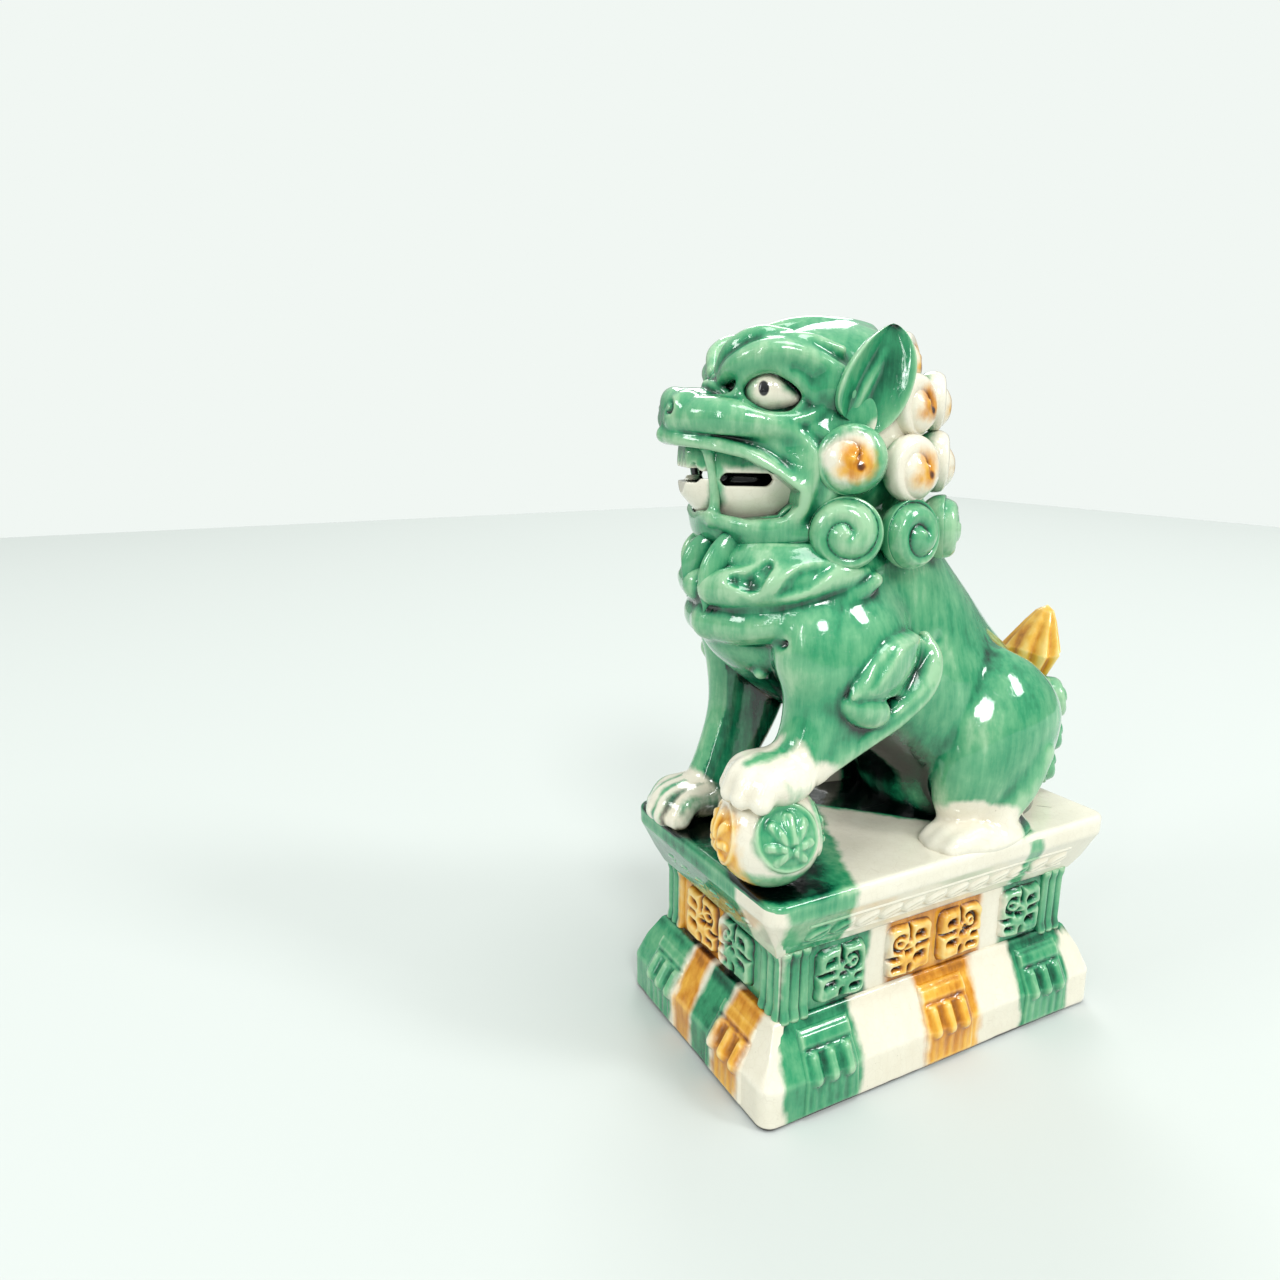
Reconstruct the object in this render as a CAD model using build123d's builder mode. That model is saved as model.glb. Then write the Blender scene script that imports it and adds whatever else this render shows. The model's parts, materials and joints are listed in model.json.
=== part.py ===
from build123d import *
from math import atan2, cos, radians, sin
import os

# A seated guardian lion on a waisted plinth: hollow press-moulded stoneware, luted together from
# separately moulded pieces and then glazed. Millimetres. +Z is up, the lion faces -Y and +X is its
# left. The origin is the middle of the plinth's underside.

# ---------------------------------------------------------------- driving dimensions
FOOT_W, FOOT_L = 97.0, 160.0            # the plinth's footprint
FOOT_BAND = 15.0                        # upright band at the bottom
WAIST_W, WAIST_L = 76.0, 135.0
WAIST_LOW, WAIST_HIGH = 33.0, 58.0      # where the waist starts and ends
SLAB_W, SLAB_L = 95.0, 158.0
SLAB_EDGE, SLAB_TOP = 75.0, 82.0        # underside of the slab's edge, and its top face
CORNER = 4.0                            # radius of the plinth's upright corners
WALL = 7.0                              # press-moulded wall
CLAY = 6.0                              # wall of the lion's hollow parts
VENT_D = 14.0                           # firing vent from the plinth into the lion
VENT_Y = 42.0

PILASTER = 12.0                         # corner pilaster, along each side
PILASTER_PROUD = 1.6
REED = 1.5                              # radius of a pilaster's reeds
FRET_W, FRET_H, FRET_DEEP = 25.0, 21.0, 2.6
FRET_BAR = 3.0
TASSEL_W, TASSEL_PROUD = 23.0, 1.4
TASSEL_STEP = 46.0                      # between the tassel panels of a long side
LEAF_STEP, LEAF_DEEP = 9.0, 1.1

HEAD_TURN = 18.0                        # the head looks to the lion's right
HEAD_AT = (0.0, -38.0, 225.0)           # middle of the skull
BALL_AT, BALL_R = (30.5, -70.0, 99.6), 18.0

os.makedirs("parts", exist_ok=True)


def save(piece, name):
    """Labels a finished piece and writes it as the node of that name."""
    piece.label = name
    export_step(piece, f"parts/{name}.step")


# ---------------------------------------------------------------- plinth
def rounds(low, high, wall=0.0):
    """Two rounded rectangles (width, length, height) to loft between; wall takes them in."""
    sections = []
    for width, length, height in (low, high):
        with BuildSketch(Plane.XY.offset(height)) as section:
            RectangleRounded(width - 2 * wall, length - 2 * wall, CORNER)
        sections.append(section.sketch)
    return sections


foot_low, foot_band = (FOOT_W, FOOT_L, 0.0), (FOOT_W, FOOT_L, FOOT_BAND)
waist_low = (WAIST_W + 2.0, WAIST_L + 2.0, WAIST_LOW)

with BuildPart() as plinth_foot:
    loft(rounds(foot_low, foot_band))
    loft(rounds(foot_band, waist_low))
    loft(rounds(foot_low, foot_band, WALL), mode=Mode.SUBTRACT)
    loft(rounds(foot_band, waist_low, WALL), mode=Mode.SUBTRACT)
save(plinth_foot.part, "plinth_foot")

with BuildPart() as plinth_waist:
    with BuildSketch(Plane.XY.offset(WAIST_LOW)):
        RectangleRounded(WAIST_W, WAIST_L, CORNER / 2)
        RectangleRounded(WAIST_W - 2 * WALL, WAIST_L - 2 * WALL, CORNER / 2, mode=Mode.SUBTRACT)
    extrude(amount=WAIST_HIGH - WAIST_LOW)
save(plinth_waist.part, "plinth_waist")

waist_high = (WAIST_W + 2.0, WAIST_L + 2.0, WAIST_HIGH)
slab_edge, slab_top = (SLAB_W, SLAB_L, SLAB_EDGE), (SLAB_W, SLAB_L, SLAB_TOP)

with BuildPart() as plinth_slab:
    loft(rounds(waist_high, slab_edge))
    loft(rounds(slab_edge, slab_top))
    fillet(plinth_slab.edges().group_by(Axis.Z)[-1], radius=2.5)
    with BuildSketch(Plane.XY.offset(WAIST_HIGH)):
        RectangleRounded(WAIST_W - 2 * WALL, WAIST_L - 2 * WALL, CORNER / 2)
    extrude(amount=SLAB_EDGE - WAIST_HIGH, mode=Mode.SUBTRACT)
    with Locations((0, VENT_Y, SLAB_TOP)):
        Hole(radius=VENT_D / 2, depth=SLAB_TOP - SLAB_EDGE)
save(plinth_slab.part, "plinth_slab")

# Reeded pilasters that wrap the four corners of the waist.
for end, back in (("front", -1), ("back", 1)):
    for side, left in (("left", 1), ("right", -1)):
        corner = (left * WAIST_W / 2, back * WAIST_L / 2)
        with BuildPart() as pilaster:
            with BuildSketch(Plane.XY.offset(WAIST_LOW)):
                inset = PILASTER / 2 - PILASTER_PROUD
                with Locations((corner[0] - left * inset, corner[1] - back * inset)):
                    Rectangle(PILASTER, PILASTER)
                for reed in range(3):
                    along = (reed + 0.5) * PILASTER / 3 - PILASTER_PROUD
                    with Locations(
                        (corner[0] + left * PILASTER_PROUD, corner[1] - back * along),
                        (corner[0] - left * along, corner[1] + back * PILASTER_PROUD),
                    ):
                        Circle(REED)
                Rectangle(WAIST_W, WAIST_L, mode=Mode.SUBTRACT)
            extrude(amount=WAIST_HIGH - WAIST_LOW)
        save(pilaster.part, f"{end}_{side}_pilaster")


def side_plane(side, height, proud=0.0, width=WAIST_W, length=WAIST_L):
    """The upright plane on one face of the plinth: its x runs along the face, its y is up."""
    normal = {"left": (1, 0, 0), "right": (-1, 0, 0), "front": (0, -1, 0), "back": (0, 1, 0)}[side]
    reach = (width if side in ("left", "right") else length) / 2 + proud
    return Plane(
        origin=(normal[0] * reach, normal[1] * reach, height),
        x_dir=(-normal[1], normal[0], 0),
        z_dir=normal,
    )


def fret_bars(at, way):
    """One key fret about the point at; way is 1 or -1 for the scroll to the right or the left."""
    bars = [(-5.0, 8.6, 13.0, FRET_BAR), (-2.0, 0.0, 19.0, FRET_BAR), (-5.0, -8.6, 13.0, FRET_BAR)]
    bars += [(0.2, 0.0, FRET_BAR, FRET_H), (-10.0, 6.0, FRET_BAR, 6.0), (-10.0, -6.0, FRET_BAR, 6.0)]
    for across, up, width, height in bars:
        with Locations((at + way * across, up)):
            Rectangle(width, height)
    with Locations((at + way * 7.6, 3.4)):
        Circle(5.0)
        Circle(2.2, mode=Mode.SUBTRACT)
    with Locations((at + way * 9.8, -3.5)):
        Rectangle(FRET_BAR, 9.0)


# Frets on the waist, in mirrored pairs: two pairs on a long side, one on a short side.
for side in ("left", "right", "front", "back"):
    pairs = (-1, 1) if side in ("left", "right") else (0,)
    with BuildPart() as frets:
        with BuildSketch(side_plane(side, (WAIST_LOW + WAIST_HIGH) / 2)):
            for pair in pairs:
                for way in (-1, 1):
                    fret_bars(pair * WAIST_L / 4 * 0.86 + way * -FRET_W * 0.54, way)
        extrude(amount=FRET_DEEP)
    save(frets.part, f"{side}_frets")

def spread(side, wide, narrow):
    """How far one rounded rectangle reaches past another on that side of the plinth."""
    which = 0 if side in ("left", "right") else 1
    return (wide[which] - narrow[which]) / 2


# Tassel panels on the foot: a curtain that follows the slope and the band, with three tongues.
slope_up = WAIST_LOW - FOOT_BAND
for side in ("left", "right", "front", "back"):
    slope_out = spread(side, foot_band, waist_low)
    lean = atan2(slope_out, slope_up)
    places = (-TASSEL_STEP, 0.0, TASSEL_STEP) if side in ("left", "right") else (-TASSEL_W, TASSEL_W)
    with BuildPart() as tassels:
        for place in places:
            face = side_plane(side, 0.0, width=FOOT_W, length=FOOT_L)
            middle = face.from_local_coords((place - TASSEL_W / 2, 0, 0))
            section = Plane(origin=middle, x_dir=face.z_dir, z_dir=face.x_dir)
            rise = -1 if section.y_dir.Z < 0 else 1
            with BuildSketch(section):
                with BuildLine():
                    Polyline(
                        (0, rise * 3.0),
                        (0, rise * FOOT_BAND),
                        (-slope_out * 0.86, rise * (FOOT_BAND + slope_up * 0.86)),
                        (-slope_out * 0.86 + TASSEL_PROUD, rise * (FOOT_BAND + slope_up * 0.86)),
                        (TASSEL_PROUD, rise * FOOT_BAND),
                        (TASSEL_PROUD, rise * 3.0),
                        close=True,
                    )
                make_face()
            extrude(amount=TASSEL_W)
            slope = Plane(
                origin=face.from_local_coords((place, FOOT_BAND + slope_up * 0.35, -slope_out * 0.35 + TASSEL_PROUD)),
                x_dir=face.x_dir,
                z_dir=face.z_dir * cos(lean) + Vector(0, 0, sin(lean)),
            )
            with BuildSketch(slope):
                with GridLocations(TASSEL_W / 3.4, 0, 3, 1):
                    SlotOverall(10.0, 5.2, rotation=90)
            extrude(amount=TASSEL_PROUD)
    save(tassels.part, f"{side}_tassels")

# A running band of leaves round the slab's sloping underside.
band_up = SLAB_EDGE - WAIST_HIGH
with BuildPart() as slab_leaves:
    for side in ("left", "right", "front", "back"):
        count = 14 if side in ("left", "right") else 8
        face = side_plane(side, 0.0)
        band_out = spread(side, slab_edge, waist_high)
        lean = atan2(band_out, band_up)
        slope = Plane(
            origin=face.from_local_coords((0, WAIST_HIGH + band_up * 0.55, 1.0 + band_out * 0.55)),
            x_dir=face.x_dir,
            z_dir=face.z_dir * cos(lean) - Vector(0, 0, sin(lean)),
        )
        with BuildSketch(slope):
            with GridLocations(LEAF_STEP, 0, count, 1):
                Ellipse(3.9, 1.9, rotation=24)
        extrude(amount=LEAF_DEEP)
save(slab_leaves.part, "slab_leaves")


# ---------------------------------------------------------------- lion: body and limbs
def stack(plane, sections, take=0.0):
    """Ellipses (distance, across, up, half width, half height) on offsets of the plane, to loft."""
    sketches = []
    for distance, across, up, half_width, half_height in sections:
        with BuildSketch(plane.offset(distance)) as section:
            with Locations((across, up)):
                Ellipse(half_width - take, half_height - take)
        sketches.append(section.sketch)
    return sketches


def ellipsoid(half_x, half_y, half_z):
    """An ellipsoid about the origin: a round bun of revolution, stretched across."""
    return scale(Sphere(half_z, mode=Mode.PRIVATE), by=(half_x / half_z, half_y / half_z, 1.0), mode=Mode.PRIVATE)


def egg(centre, radii):
    """An ellipsoid about a centre, with its axes along X, Y and Z."""
    return Pos(*centre) * ellipsoid(*radii)


# Level sections of the trunk, from the seat up into the neck: height, x, y, half width, half length.
TORSO = [
    (SLAB_TOP, 0, 42, 33, 33),
    (100, 0, 36, 37, 40),
    (120, 0, 23, 37, 52),
    (140, 0, 3, 36, 61),
    (155, 0, -13, 34, 60),
    (168, 0, -21, 33, 56),
    (180, 0, -25, 31, 48),
    (192, 0, -28, 28, 38),
]
TORSO_ROOF = (186, 0, -26, 29, 43)      # where the hollow stops
with BuildPart() as torso_form:
    loft(stack(Plane.XY, TORSO))
with BuildPart() as torso:
    add(torso_form.part)
    loft(stack(Plane.XY, TORSO[:-1] + [TORSO_ROOF], take=CLAY), mode=Mode.SUBTRACT)
save(torso.part, "torso")

# Level sections of each foreleg, from the shoulder down to the wrist.
LEFT_FORELEG = [
    (182, 24, -40, 8, 14),
    (172, 27, -41, 14, 22),
    (156, 29, -42, 16, 24),
    (142, 30, -46, 13, 17),
    (130, 31, -55, 10, 11),
    (118, 31.5, -64, 9, 10),
]
RIGHT_FORELEG = [
    (182, -24, -40, 8, 14),
    (172, -27, -41, 14, 22),
    (156, -29, -43, 16, 23),
    (142, -29, -47, 13, 17),
    (125, -28, -52, 10, 11.5),
    (108, -27, -56, 9, 10),
    (93, -27, -60, 9, 10),
]
HAUNCH = [(88, 30, 22, 8, 20), (100, 32, 28, 12, 27), (118, 33, 36, 13, 28), (134, 31, 41, 12, 23), (147, 27, 45, 7, 12)]

# Paws: middle and half sizes. A forepaw and a hind paw on each side.
PAWS = {
    "left_forepaw": ((31.5, -72, 118.5), (12.5, 14.5, 8.5)),
    "right_forepaw": ((-27, -66, SLAB_TOP + 6.6), (12.0, 14.5, 7.5)),
    "left_hind_paw": ((38, 8, SLAB_TOP + 5.6), (9.0, 17.0, 7.0)),
    "right_hind_paw": ((-38, 8, SLAB_TOP + 5.6), (9.0, 17.0, 7.0)),
}
paws = {name: egg(*place) for name, place in PAWS.items()}

with BuildPart() as ball:
    with Locations(BALL_AT):
        Sphere(BALL_R)
        Sphere(BALL_R - CLAY, mode=Mode.SUBTRACT)
    with Locations((0, 0, SLAB_TOP - 10)):
        Box(300, 300, 20, mode=Mode.SUBTRACT)
save(ball.part, "brocade_ball")

with BuildPart() as ball_form:
    with Locations(BALL_AT):
        Sphere(BALL_R)

for name, paw_form in paws.items():
    with BuildPart() as paw:
        add(paw_form)
        add(ball_form.part, mode=Mode.SUBTRACT)
        add(torso_form.part, mode=Mode.SUBTRACT)
        with Locations((0, 0, SLAB_TOP - 10)):
            Box(300, 300, 20, mode=Mode.SUBTRACT)
    save(paw.part, name)

legs = {}
for name, sections, foot in (
    ("left_foreleg", LEFT_FORELEG, "left_forepaw"),
    ("right_foreleg", RIGHT_FORELEG, "right_forepaw"),
    ("left_haunch", HAUNCH, "left_hind_paw"),
    ("right_haunch", [(z, -x, y, a, b) for z, x, y, a, b in HAUNCH], "right_hind_paw"),
):
    with BuildPart() as leg:
        loft(stack(Plane.XY, sections))
        add(torso_form.part, mode=Mode.SUBTRACT)
        add(paws[foot], mode=Mode.SUBTRACT)
        add(ball_form.part, mode=Mode.SUBTRACT)
    legs[name] = leg.part
    save(leg.part, name)


# ---------------------------------------------------------------- lion: head
turn = radians(HEAD_TURN)
# The head's own plane: x to its left, y up, and its normal straight out through the nose.
HEAD = Plane(origin=HEAD_AT, x_dir=(cos(turn), -sin(turn), 0), z_dir=(-sin(turn), -cos(turn), 0))


def in_head(forward, left, up):
    """A point of the head, with up counted from the ground."""
    return Vector(HEAD.from_local_coords((left, up - HEAD_AT[2], forward)))


def head_egg(forward, left, up, along, wide, high, pitch=0.0):
    """An ellipsoid on the head, its half sizes along, across and up; pitch lifts its front end."""
    shape = Rot(-pitch, 0, 0) * ellipsoid(wide, high, along)
    return Plane(origin=in_head(forward, left, up), x_dir=HEAD.x_dir, z_dir=HEAD.z_dir) * shape


# Sections of the head from the back of the skull to the nose: forward, across, up, half sizes.
SKULL = [
    (-32, 0, 0, 20, 27),
    (-20, 0, 1, 26, 34.5),
    (-5, 0, 1.5, 29, 35.5),
    (10, 0, -0.5, 28, 34),
    (20, 0, -4, 26, 32),
    (30, 0, -8, 22.5, 27),
    (40, 0, -8, 18.5, 21.5),
    (47, 0, -6.5, 12.5, 13),
]
MOUTH = [(10, -15), (28, -4.5), (40, -2), (60, 0), (60, -18), (42, -19), (28, -22)]
JAW = [(10, -15), (28, -22), (42, -19), (60, -18), (60, -50), (2, -50), (2, -17)]
SLOT_HIGH, SLOT_LOW = 214.0, 209.5      # the dark slots between the teeth
LIP = 3.0                               # how far the teeth stand behind the lips


def side_cut(outline):
    """A prism right across the head from an outline of (forward, up from the head's middle)."""
    side = Plane(origin=HEAD.from_local_coords((-50, 0, 0)), x_dir=HEAD.z_dir, z_dir=-HEAD.x_dir)
    with BuildPart() as cut:
        with BuildSketch(side):
            with BuildLine():
                Polyline(*[(x, y) if side.y_dir.Z > 0 else (x, -y) for x, y in outline], close=True)
            make_face()
        extrude(amount=-100)
    return cut.part


mouth_cut, jaw_cut = side_cut(MOUTH), side_cut(JAW)
with BuildPart() as skull_form:
    loft(stack(HEAD, SKULL))
with BuildPart() as skull_hollow:
    loft(stack(HEAD, SKULL[1:-1], take=CLAY))

with BuildPart() as head:
    add(skull_form.part)
    add(skull_hollow.part, mode=Mode.SUBTRACT)
    add(mouth_cut, mode=Mode.SUBTRACT)
    add(jaw_cut, mode=Mode.SUBTRACT)
    add(torso_form.part, mode=Mode.SUBTRACT)
save(head.part, "head")

with BuildPart() as lower_jaw:
    add(skull_form.part)
    add(jaw_cut, mode=Mode.INTERSECT)
    add(skull_hollow.part, mode=Mode.SUBTRACT)
    add(torso_form.part, mode=Mode.SUBTRACT)
save(lower_jaw.part, "lower_jaw")

# The teeth are a thin wall set behind the lips, open in a slot between the rows.
with BuildPart() as tooth_wall:
    loft(stack(HEAD, SKULL[2:], take=LIP))
    loft(stack(HEAD, SKULL[2:], take=LIP + 2.5), mode=Mode.SUBTRACT)
    add(mouth_cut, mode=Mode.INTERSECT)
for name, low, high in (("upper_teeth", SLOT_HIGH, 240.0), ("lower_teeth", 190.0, SLOT_LOW)):
    with BuildPart() as teeth:
        add(tooth_wall.part)
        with Locations((0, 0, (low + high) / 2)):
            Box(300, 300, high - low, mode=Mode.INTERSECT)
    save(teeth.part, name)

# Pieces luted to the face and skull. Each is cut to the form that it sits on.
on_head = {"nose": head_egg(44.0, 0, 236.0, 6.5, 11.0, 7.0)}
for name, way in (("left", 1), ("right", -1)):
    on_head[f"{name}_eye"] = head_egg(16.5, way * 21.5, 239.0, 8.5, 5.5, 6.0)
    on_head[f"{name}_brow"] = head_egg(14.0, way * 17.0, 249.5, 14.5, 9.0, 5.5, pitch=8.0)
for name, form in on_head.items():
    with BuildPart() as piece:
        add(form)
        add(skull_form.part, mode=Mode.SUBTRACT)
        if "brow" in name:
            add(on_head[name.replace("brow", "eye")], mode=Mode.SUBTRACT)
    save(piece.part, name)

# Ears: level sections from the root to the tip, then a smaller form that opens them to the side.
EAR = [(229, -6.5, 28, 4, 5), (236, -8.5, 30, 5.5, 9), (244, -10.5, 31, 5.5, 10), (252, -12.5, 31, 4, 7), (259, -15, 30, 1.2, 2)]
EAR_CUP = [(232, -7, 36, 2, 3), (240, -9, 36.5, 4, 6.5), (248, -11, 36, 3.5, 6), (255, -13.5, 34.5, 1, 1.5)]


def upright(sections, way):
    """Level sections on the head: height, forward, left, half width and half length."""
    level = Plane(origin=HEAD_AT, x_dir=HEAD.x_dir, z_dir=(0, 0, 1))
    rows = [(up - HEAD_AT[2], way * left, -forward, wide, along) for up, forward, left, wide, along in sections]
    with BuildPart() as form:
        loft(stack(level, rows))
    return form.part


for name, way in (("left", 1), ("right", -1)):
    leaf, cup = upright(EAR, way), upright(EAR_CUP, way)
    with BuildPart() as ear:
        add(leaf)
        add(cup, mode=Mode.SUBTRACT)
        add(skull_form.part, mode=Mode.SUBTRACT)
    save(ear.part.solids().sort_by(SortBy.VOLUME)[-1], f"{name}_ear")

# Mane curls: forward, left, up and radius of each bun, on the left side of the head.
MANE = {
    "cheek_curl": [(-4, 32, 218.6, 11.2)],
    "jaw_curl": [(-3, 33, 196, 11.8)],
    "neck_curl": [(-26, 29, 195, 11.2)],
    "nape_curl": [(-44, 12, 195.5, 11.0)],
    "middle_curls": [(-26, 27, 215.5, 10.8), (-42, 10.5, 217, 10.4)],
    "crown_curls": [(-28, 21, 234.5, 10.4), (-41, 9.5, 236.5, 9.6), (-30, 9.5, 249.5, 9.4)],
}


def touches(form, other):
    """Whether two forms' boxes meet, so that one has to be cut from the other."""
    one, two = form.bounding_box(), other.bounding_box()
    return all((one.min.X < two.max.X, two.min.X < one.max.X, one.min.Y < two.max.Y,
                two.min.Y < one.max.Y, one.min.Z < two.max.Z, two.min.Z < one.max.Z))


for name, way in (("left", 1), ("right", -1)):
    taken = []
    for curl, buns in MANE.items():
        with BuildPart() as curls:
            for forward, left, up, radius in buns:
                # Each ball's seam is turned to the outside, clear of the skull that cuts it.
                with Locations(Location(in_head(forward, way * left, up), (0, 0, 90 - way * 60))):
                    Sphere(radius)
            whole = curls.part
            for other in [skull_form.part, torso_form.part, *taken]:
                if touches(whole, other):
                    add(other, mode=Mode.SUBTRACT)
            # The two halves of the mane meet in the head's own middle plane.
            half = Plane(origin=HEAD_AT, x_dir=HEAD.z_dir, z_dir=HEAD.x_dir * way)
            split(bisect_by=half, keep=Keep.TOP)
        taken.append(whole)
        save(curls.part, f"{name}_{curl}")

# ---------------------------------------------------------------- collar, beard, scrolls and tail
COLLAR_LEAN, COLLAR_H, COLLAR_PROUD = 17.0, 15.0, 2.5
with BuildPart() as collar:
    loft(stack(Plane.XY, TORSO[2:], take=-COLLAR_PROUD))
    with Locations(Location((0, -50, 174), (COLLAR_LEAN, 0, 0))):
        Box(200, 200, COLLAR_H, mode=Mode.INTERSECT)
    for other in (torso_form.part, skull_form.part, legs["left_foreleg"], legs["right_foreleg"]):
        add(other, mode=Mode.SUBTRACT)
save(collar.part.solids().sort_by(Axis.Y)[0], "collar")

locks = [head_egg(31.0 - abs(left) * 0.3, left, 184.0, 6.0, 4.6, 11.0) for left in (-13.0, -4.5, 4.5, 13.0)]
with BuildPart() as beard:
    add(locks)
    for other in (skull_form.part, torso_form.part, collar.part, legs["right_foreleg"]):
        add(other, mode=Mode.SUBTRACT)
save(beard.part, "beard")

with BuildPart() as collar_bell:
    with Locations((0, -81.5, 158.5)):
        Sphere(4.2)
    add(torso_form.part, mode=Mode.SUBTRACT)
    add(collar.part, mode=Mode.SUBTRACT)
save(collar_bell.part, "collar_bell")

for name, way, wrist in (("left", 1, (33, -57, 122)), ("right", -1, (-31, -50, 112))):
    lobes = [egg((way * 38, -24, 155), (6.0, 9.0, 10.0)), egg((way * 38, -37, 141), (5.0, 8.5, 6.5))]
    with BuildPart() as scroll:
        add(lobes)
        fin = Vector(*wrist) - Vector(way * 36, -26, 148)
        fin_plane = Plane(origin=(way * 36, -26, 148), x_dir=(1, 0, 0), z_dir=fin)
        loft(stack(fin_plane, [(0, 0, 0, 5, 7), (fin.length * 0.5, 0, 0, 4.5, 6), (fin.length, 0, 0, 3.5, 4)]))
        add(legs[f"{name}_foreleg"], mode=Mode.SUBTRACT)
        add(torso_form.part, mode=Mode.SUBTRACT)
    save(scroll.part, f"{name}_elbow_scroll")

# The tail stands against the rump: a ribbed flame between two columns of small curls.
TAIL_X = 4.0
FLAME = [(124, TAIL_X, 75, 11, 4), (138, TAIL_X, 77, 13, 7), (149, TAIL_X + 1, 80, 9.5, 6), (157, TAIL_X + 2, 83, 2.5, 2.5)]
with BuildPart() as tail_flame:
    loft(stack(Plane.XY, FLAME))
    add(torso_form.part, mode=Mode.SUBTRACT)
save(tail_flame.part, "tail_flame")

for name, way in (("left", 1), ("right", -1)):
    with BuildPart() as tail_curls:
        for across, along, up, radius in ((17, 74, 120, 9.5), (15, 75, 106, 9.0), (13, 74, 93, 9.0)):
            with Locations((way * across, along, up)):
                Sphere(radius)
        for other in (torso_form.part, tail_flame.part, legs[f"{name}_haunch"]):
            add(other, mode=Mode.SUBTRACT)
        split(bisect_by=Plane.YZ, keep=Keep.TOP if way > 0 else Keep.BOTTOM)
    save(tail_curls.part, f"{name}_tail_curls")
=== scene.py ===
# %% [markdown]
# A guardian lion in three-colour glaze. The real one is pressed from clay in plaster moulds, piece by
# piece, luted together with slip, fired, then splashed with green, amber and clear lead glazes that run
# and pool in the second firing. This notebook builds it the same way: first the tools for shaping clay
# with arrays of numbers, then the plinth, the lion and its curls, and last the glaze.
# %% Load the frame
import json
import math
import bmesh
import bpy
import numpy as np
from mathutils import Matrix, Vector

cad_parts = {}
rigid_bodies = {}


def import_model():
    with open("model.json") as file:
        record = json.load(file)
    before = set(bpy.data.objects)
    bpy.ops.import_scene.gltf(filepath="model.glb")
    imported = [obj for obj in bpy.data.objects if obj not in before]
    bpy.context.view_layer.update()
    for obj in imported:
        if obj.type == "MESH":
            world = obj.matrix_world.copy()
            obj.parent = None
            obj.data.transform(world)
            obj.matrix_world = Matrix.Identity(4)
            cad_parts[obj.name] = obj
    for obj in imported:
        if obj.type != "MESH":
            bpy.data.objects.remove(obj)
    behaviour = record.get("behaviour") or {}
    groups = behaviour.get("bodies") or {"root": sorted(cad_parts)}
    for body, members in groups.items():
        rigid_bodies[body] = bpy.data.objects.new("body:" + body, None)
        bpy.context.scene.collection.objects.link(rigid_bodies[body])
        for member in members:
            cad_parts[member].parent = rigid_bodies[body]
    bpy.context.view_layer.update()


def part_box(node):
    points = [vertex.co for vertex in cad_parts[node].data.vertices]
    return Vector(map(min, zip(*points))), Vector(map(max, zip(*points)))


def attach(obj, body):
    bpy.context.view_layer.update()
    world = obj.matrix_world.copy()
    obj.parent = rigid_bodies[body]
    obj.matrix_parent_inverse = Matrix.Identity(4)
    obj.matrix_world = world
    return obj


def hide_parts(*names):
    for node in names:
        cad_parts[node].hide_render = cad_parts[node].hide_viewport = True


for leftover in list(bpy.data.objects):
    bpy.data.objects.remove(leftover)
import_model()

MM = 0.001

# %% [markdown]
# The camera stands at the lion's left front corner, a little above it, as if the viewer bent down to a
# shelf. It is placed by its distance, its height and the way it faces, so that the lion sits right of
# the middle of the view.
# %% Camera
CAMERA_AT = (0.25353, -0.23003, 0.22943)
CAMERA_TURN, CAMERA_DIP = math.radians(63.05), math.radians(13.52)
SENSOR_WIDTH, FOCAL_OVER_WIDTH = 36.0, 900 / 1280

camera = bpy.data.objects.new("camera", bpy.data.cameras.new("camera"))
bpy.context.scene.collection.objects.link(camera)
backwards = Vector((math.sin(CAMERA_TURN) * math.cos(CAMERA_DIP),
                    -math.cos(CAMERA_TURN) * math.cos(CAMERA_DIP), math.sin(CAMERA_DIP)))
camera.location = CAMERA_AT
camera.rotation_mode = "QUATERNION"
camera.rotation_quaternion = (-backwards).to_track_quat("-Z", "Y")
camera.data.sensor_width = SENSOR_WIDTH
camera.data.lens = SENSOR_WIDTH * FOCAL_OVER_WIDTH
camera.data.clip_start = 0.01
bpy.context.scene.camera = camera
print("camera looks down", round(math.degrees(CAMERA_DIP), 1), "degrees")

# %% [markdown]
# Every piece ends up as a mesh with a few painted numbers on its points. `green`, `amber` and the black
# and bare paints say how many millimetres inside (or, below zero, outside) that colour's splash a point
# lies, so the shader can put a soft run edge exactly there. The black paint is black glaze on the pupils
# and painted shade inside the head and mouth; the bare paint is dry clay, darkened as a painted contact
# shadow along the bottom rim. `hollow` says how far a point lies under the surface averaged round it:
# glaze is thin on ridges and deep in hollows, and its colour follows.
# %% From arrays to meshes
PAINTS = ("green", "amber", "ink", "bare", "deep")
# Millimetres inside a splash that stand for "none of it" and for "all over".
NONE, ALL_OVER = -20.0, 9.0


def average_of_neighbours(points, edges):
    """Each point becomes the mean of the points it shares an edge with."""
    count = len(points)
    ends = np.concatenate([edges, edges[:, ::-1]])
    share = np.maximum(np.bincount(ends[:, 0], minlength=count), 1)
    sums = [np.bincount(ends[:, 0], weights=points[ends[:, 1], i], minlength=count) for i in range(3)]
    return np.stack(sums, 1) / share[:, None]


def hollows(points, edges, normals, reach):
    """How far each point lies under a copy of the surface smoothed over about reach millimetres."""
    length = np.linalg.norm(points[edges[:, 0]] - points[edges[:, 1]], axis=1).mean()
    smooth = points
    for _ in range(int(np.clip((reach / length) ** 2, 3, 60))):
        smooth = average_of_neighbours(smooth, edges)
    return ((smooth - points) * normals).sum(1)


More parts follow.
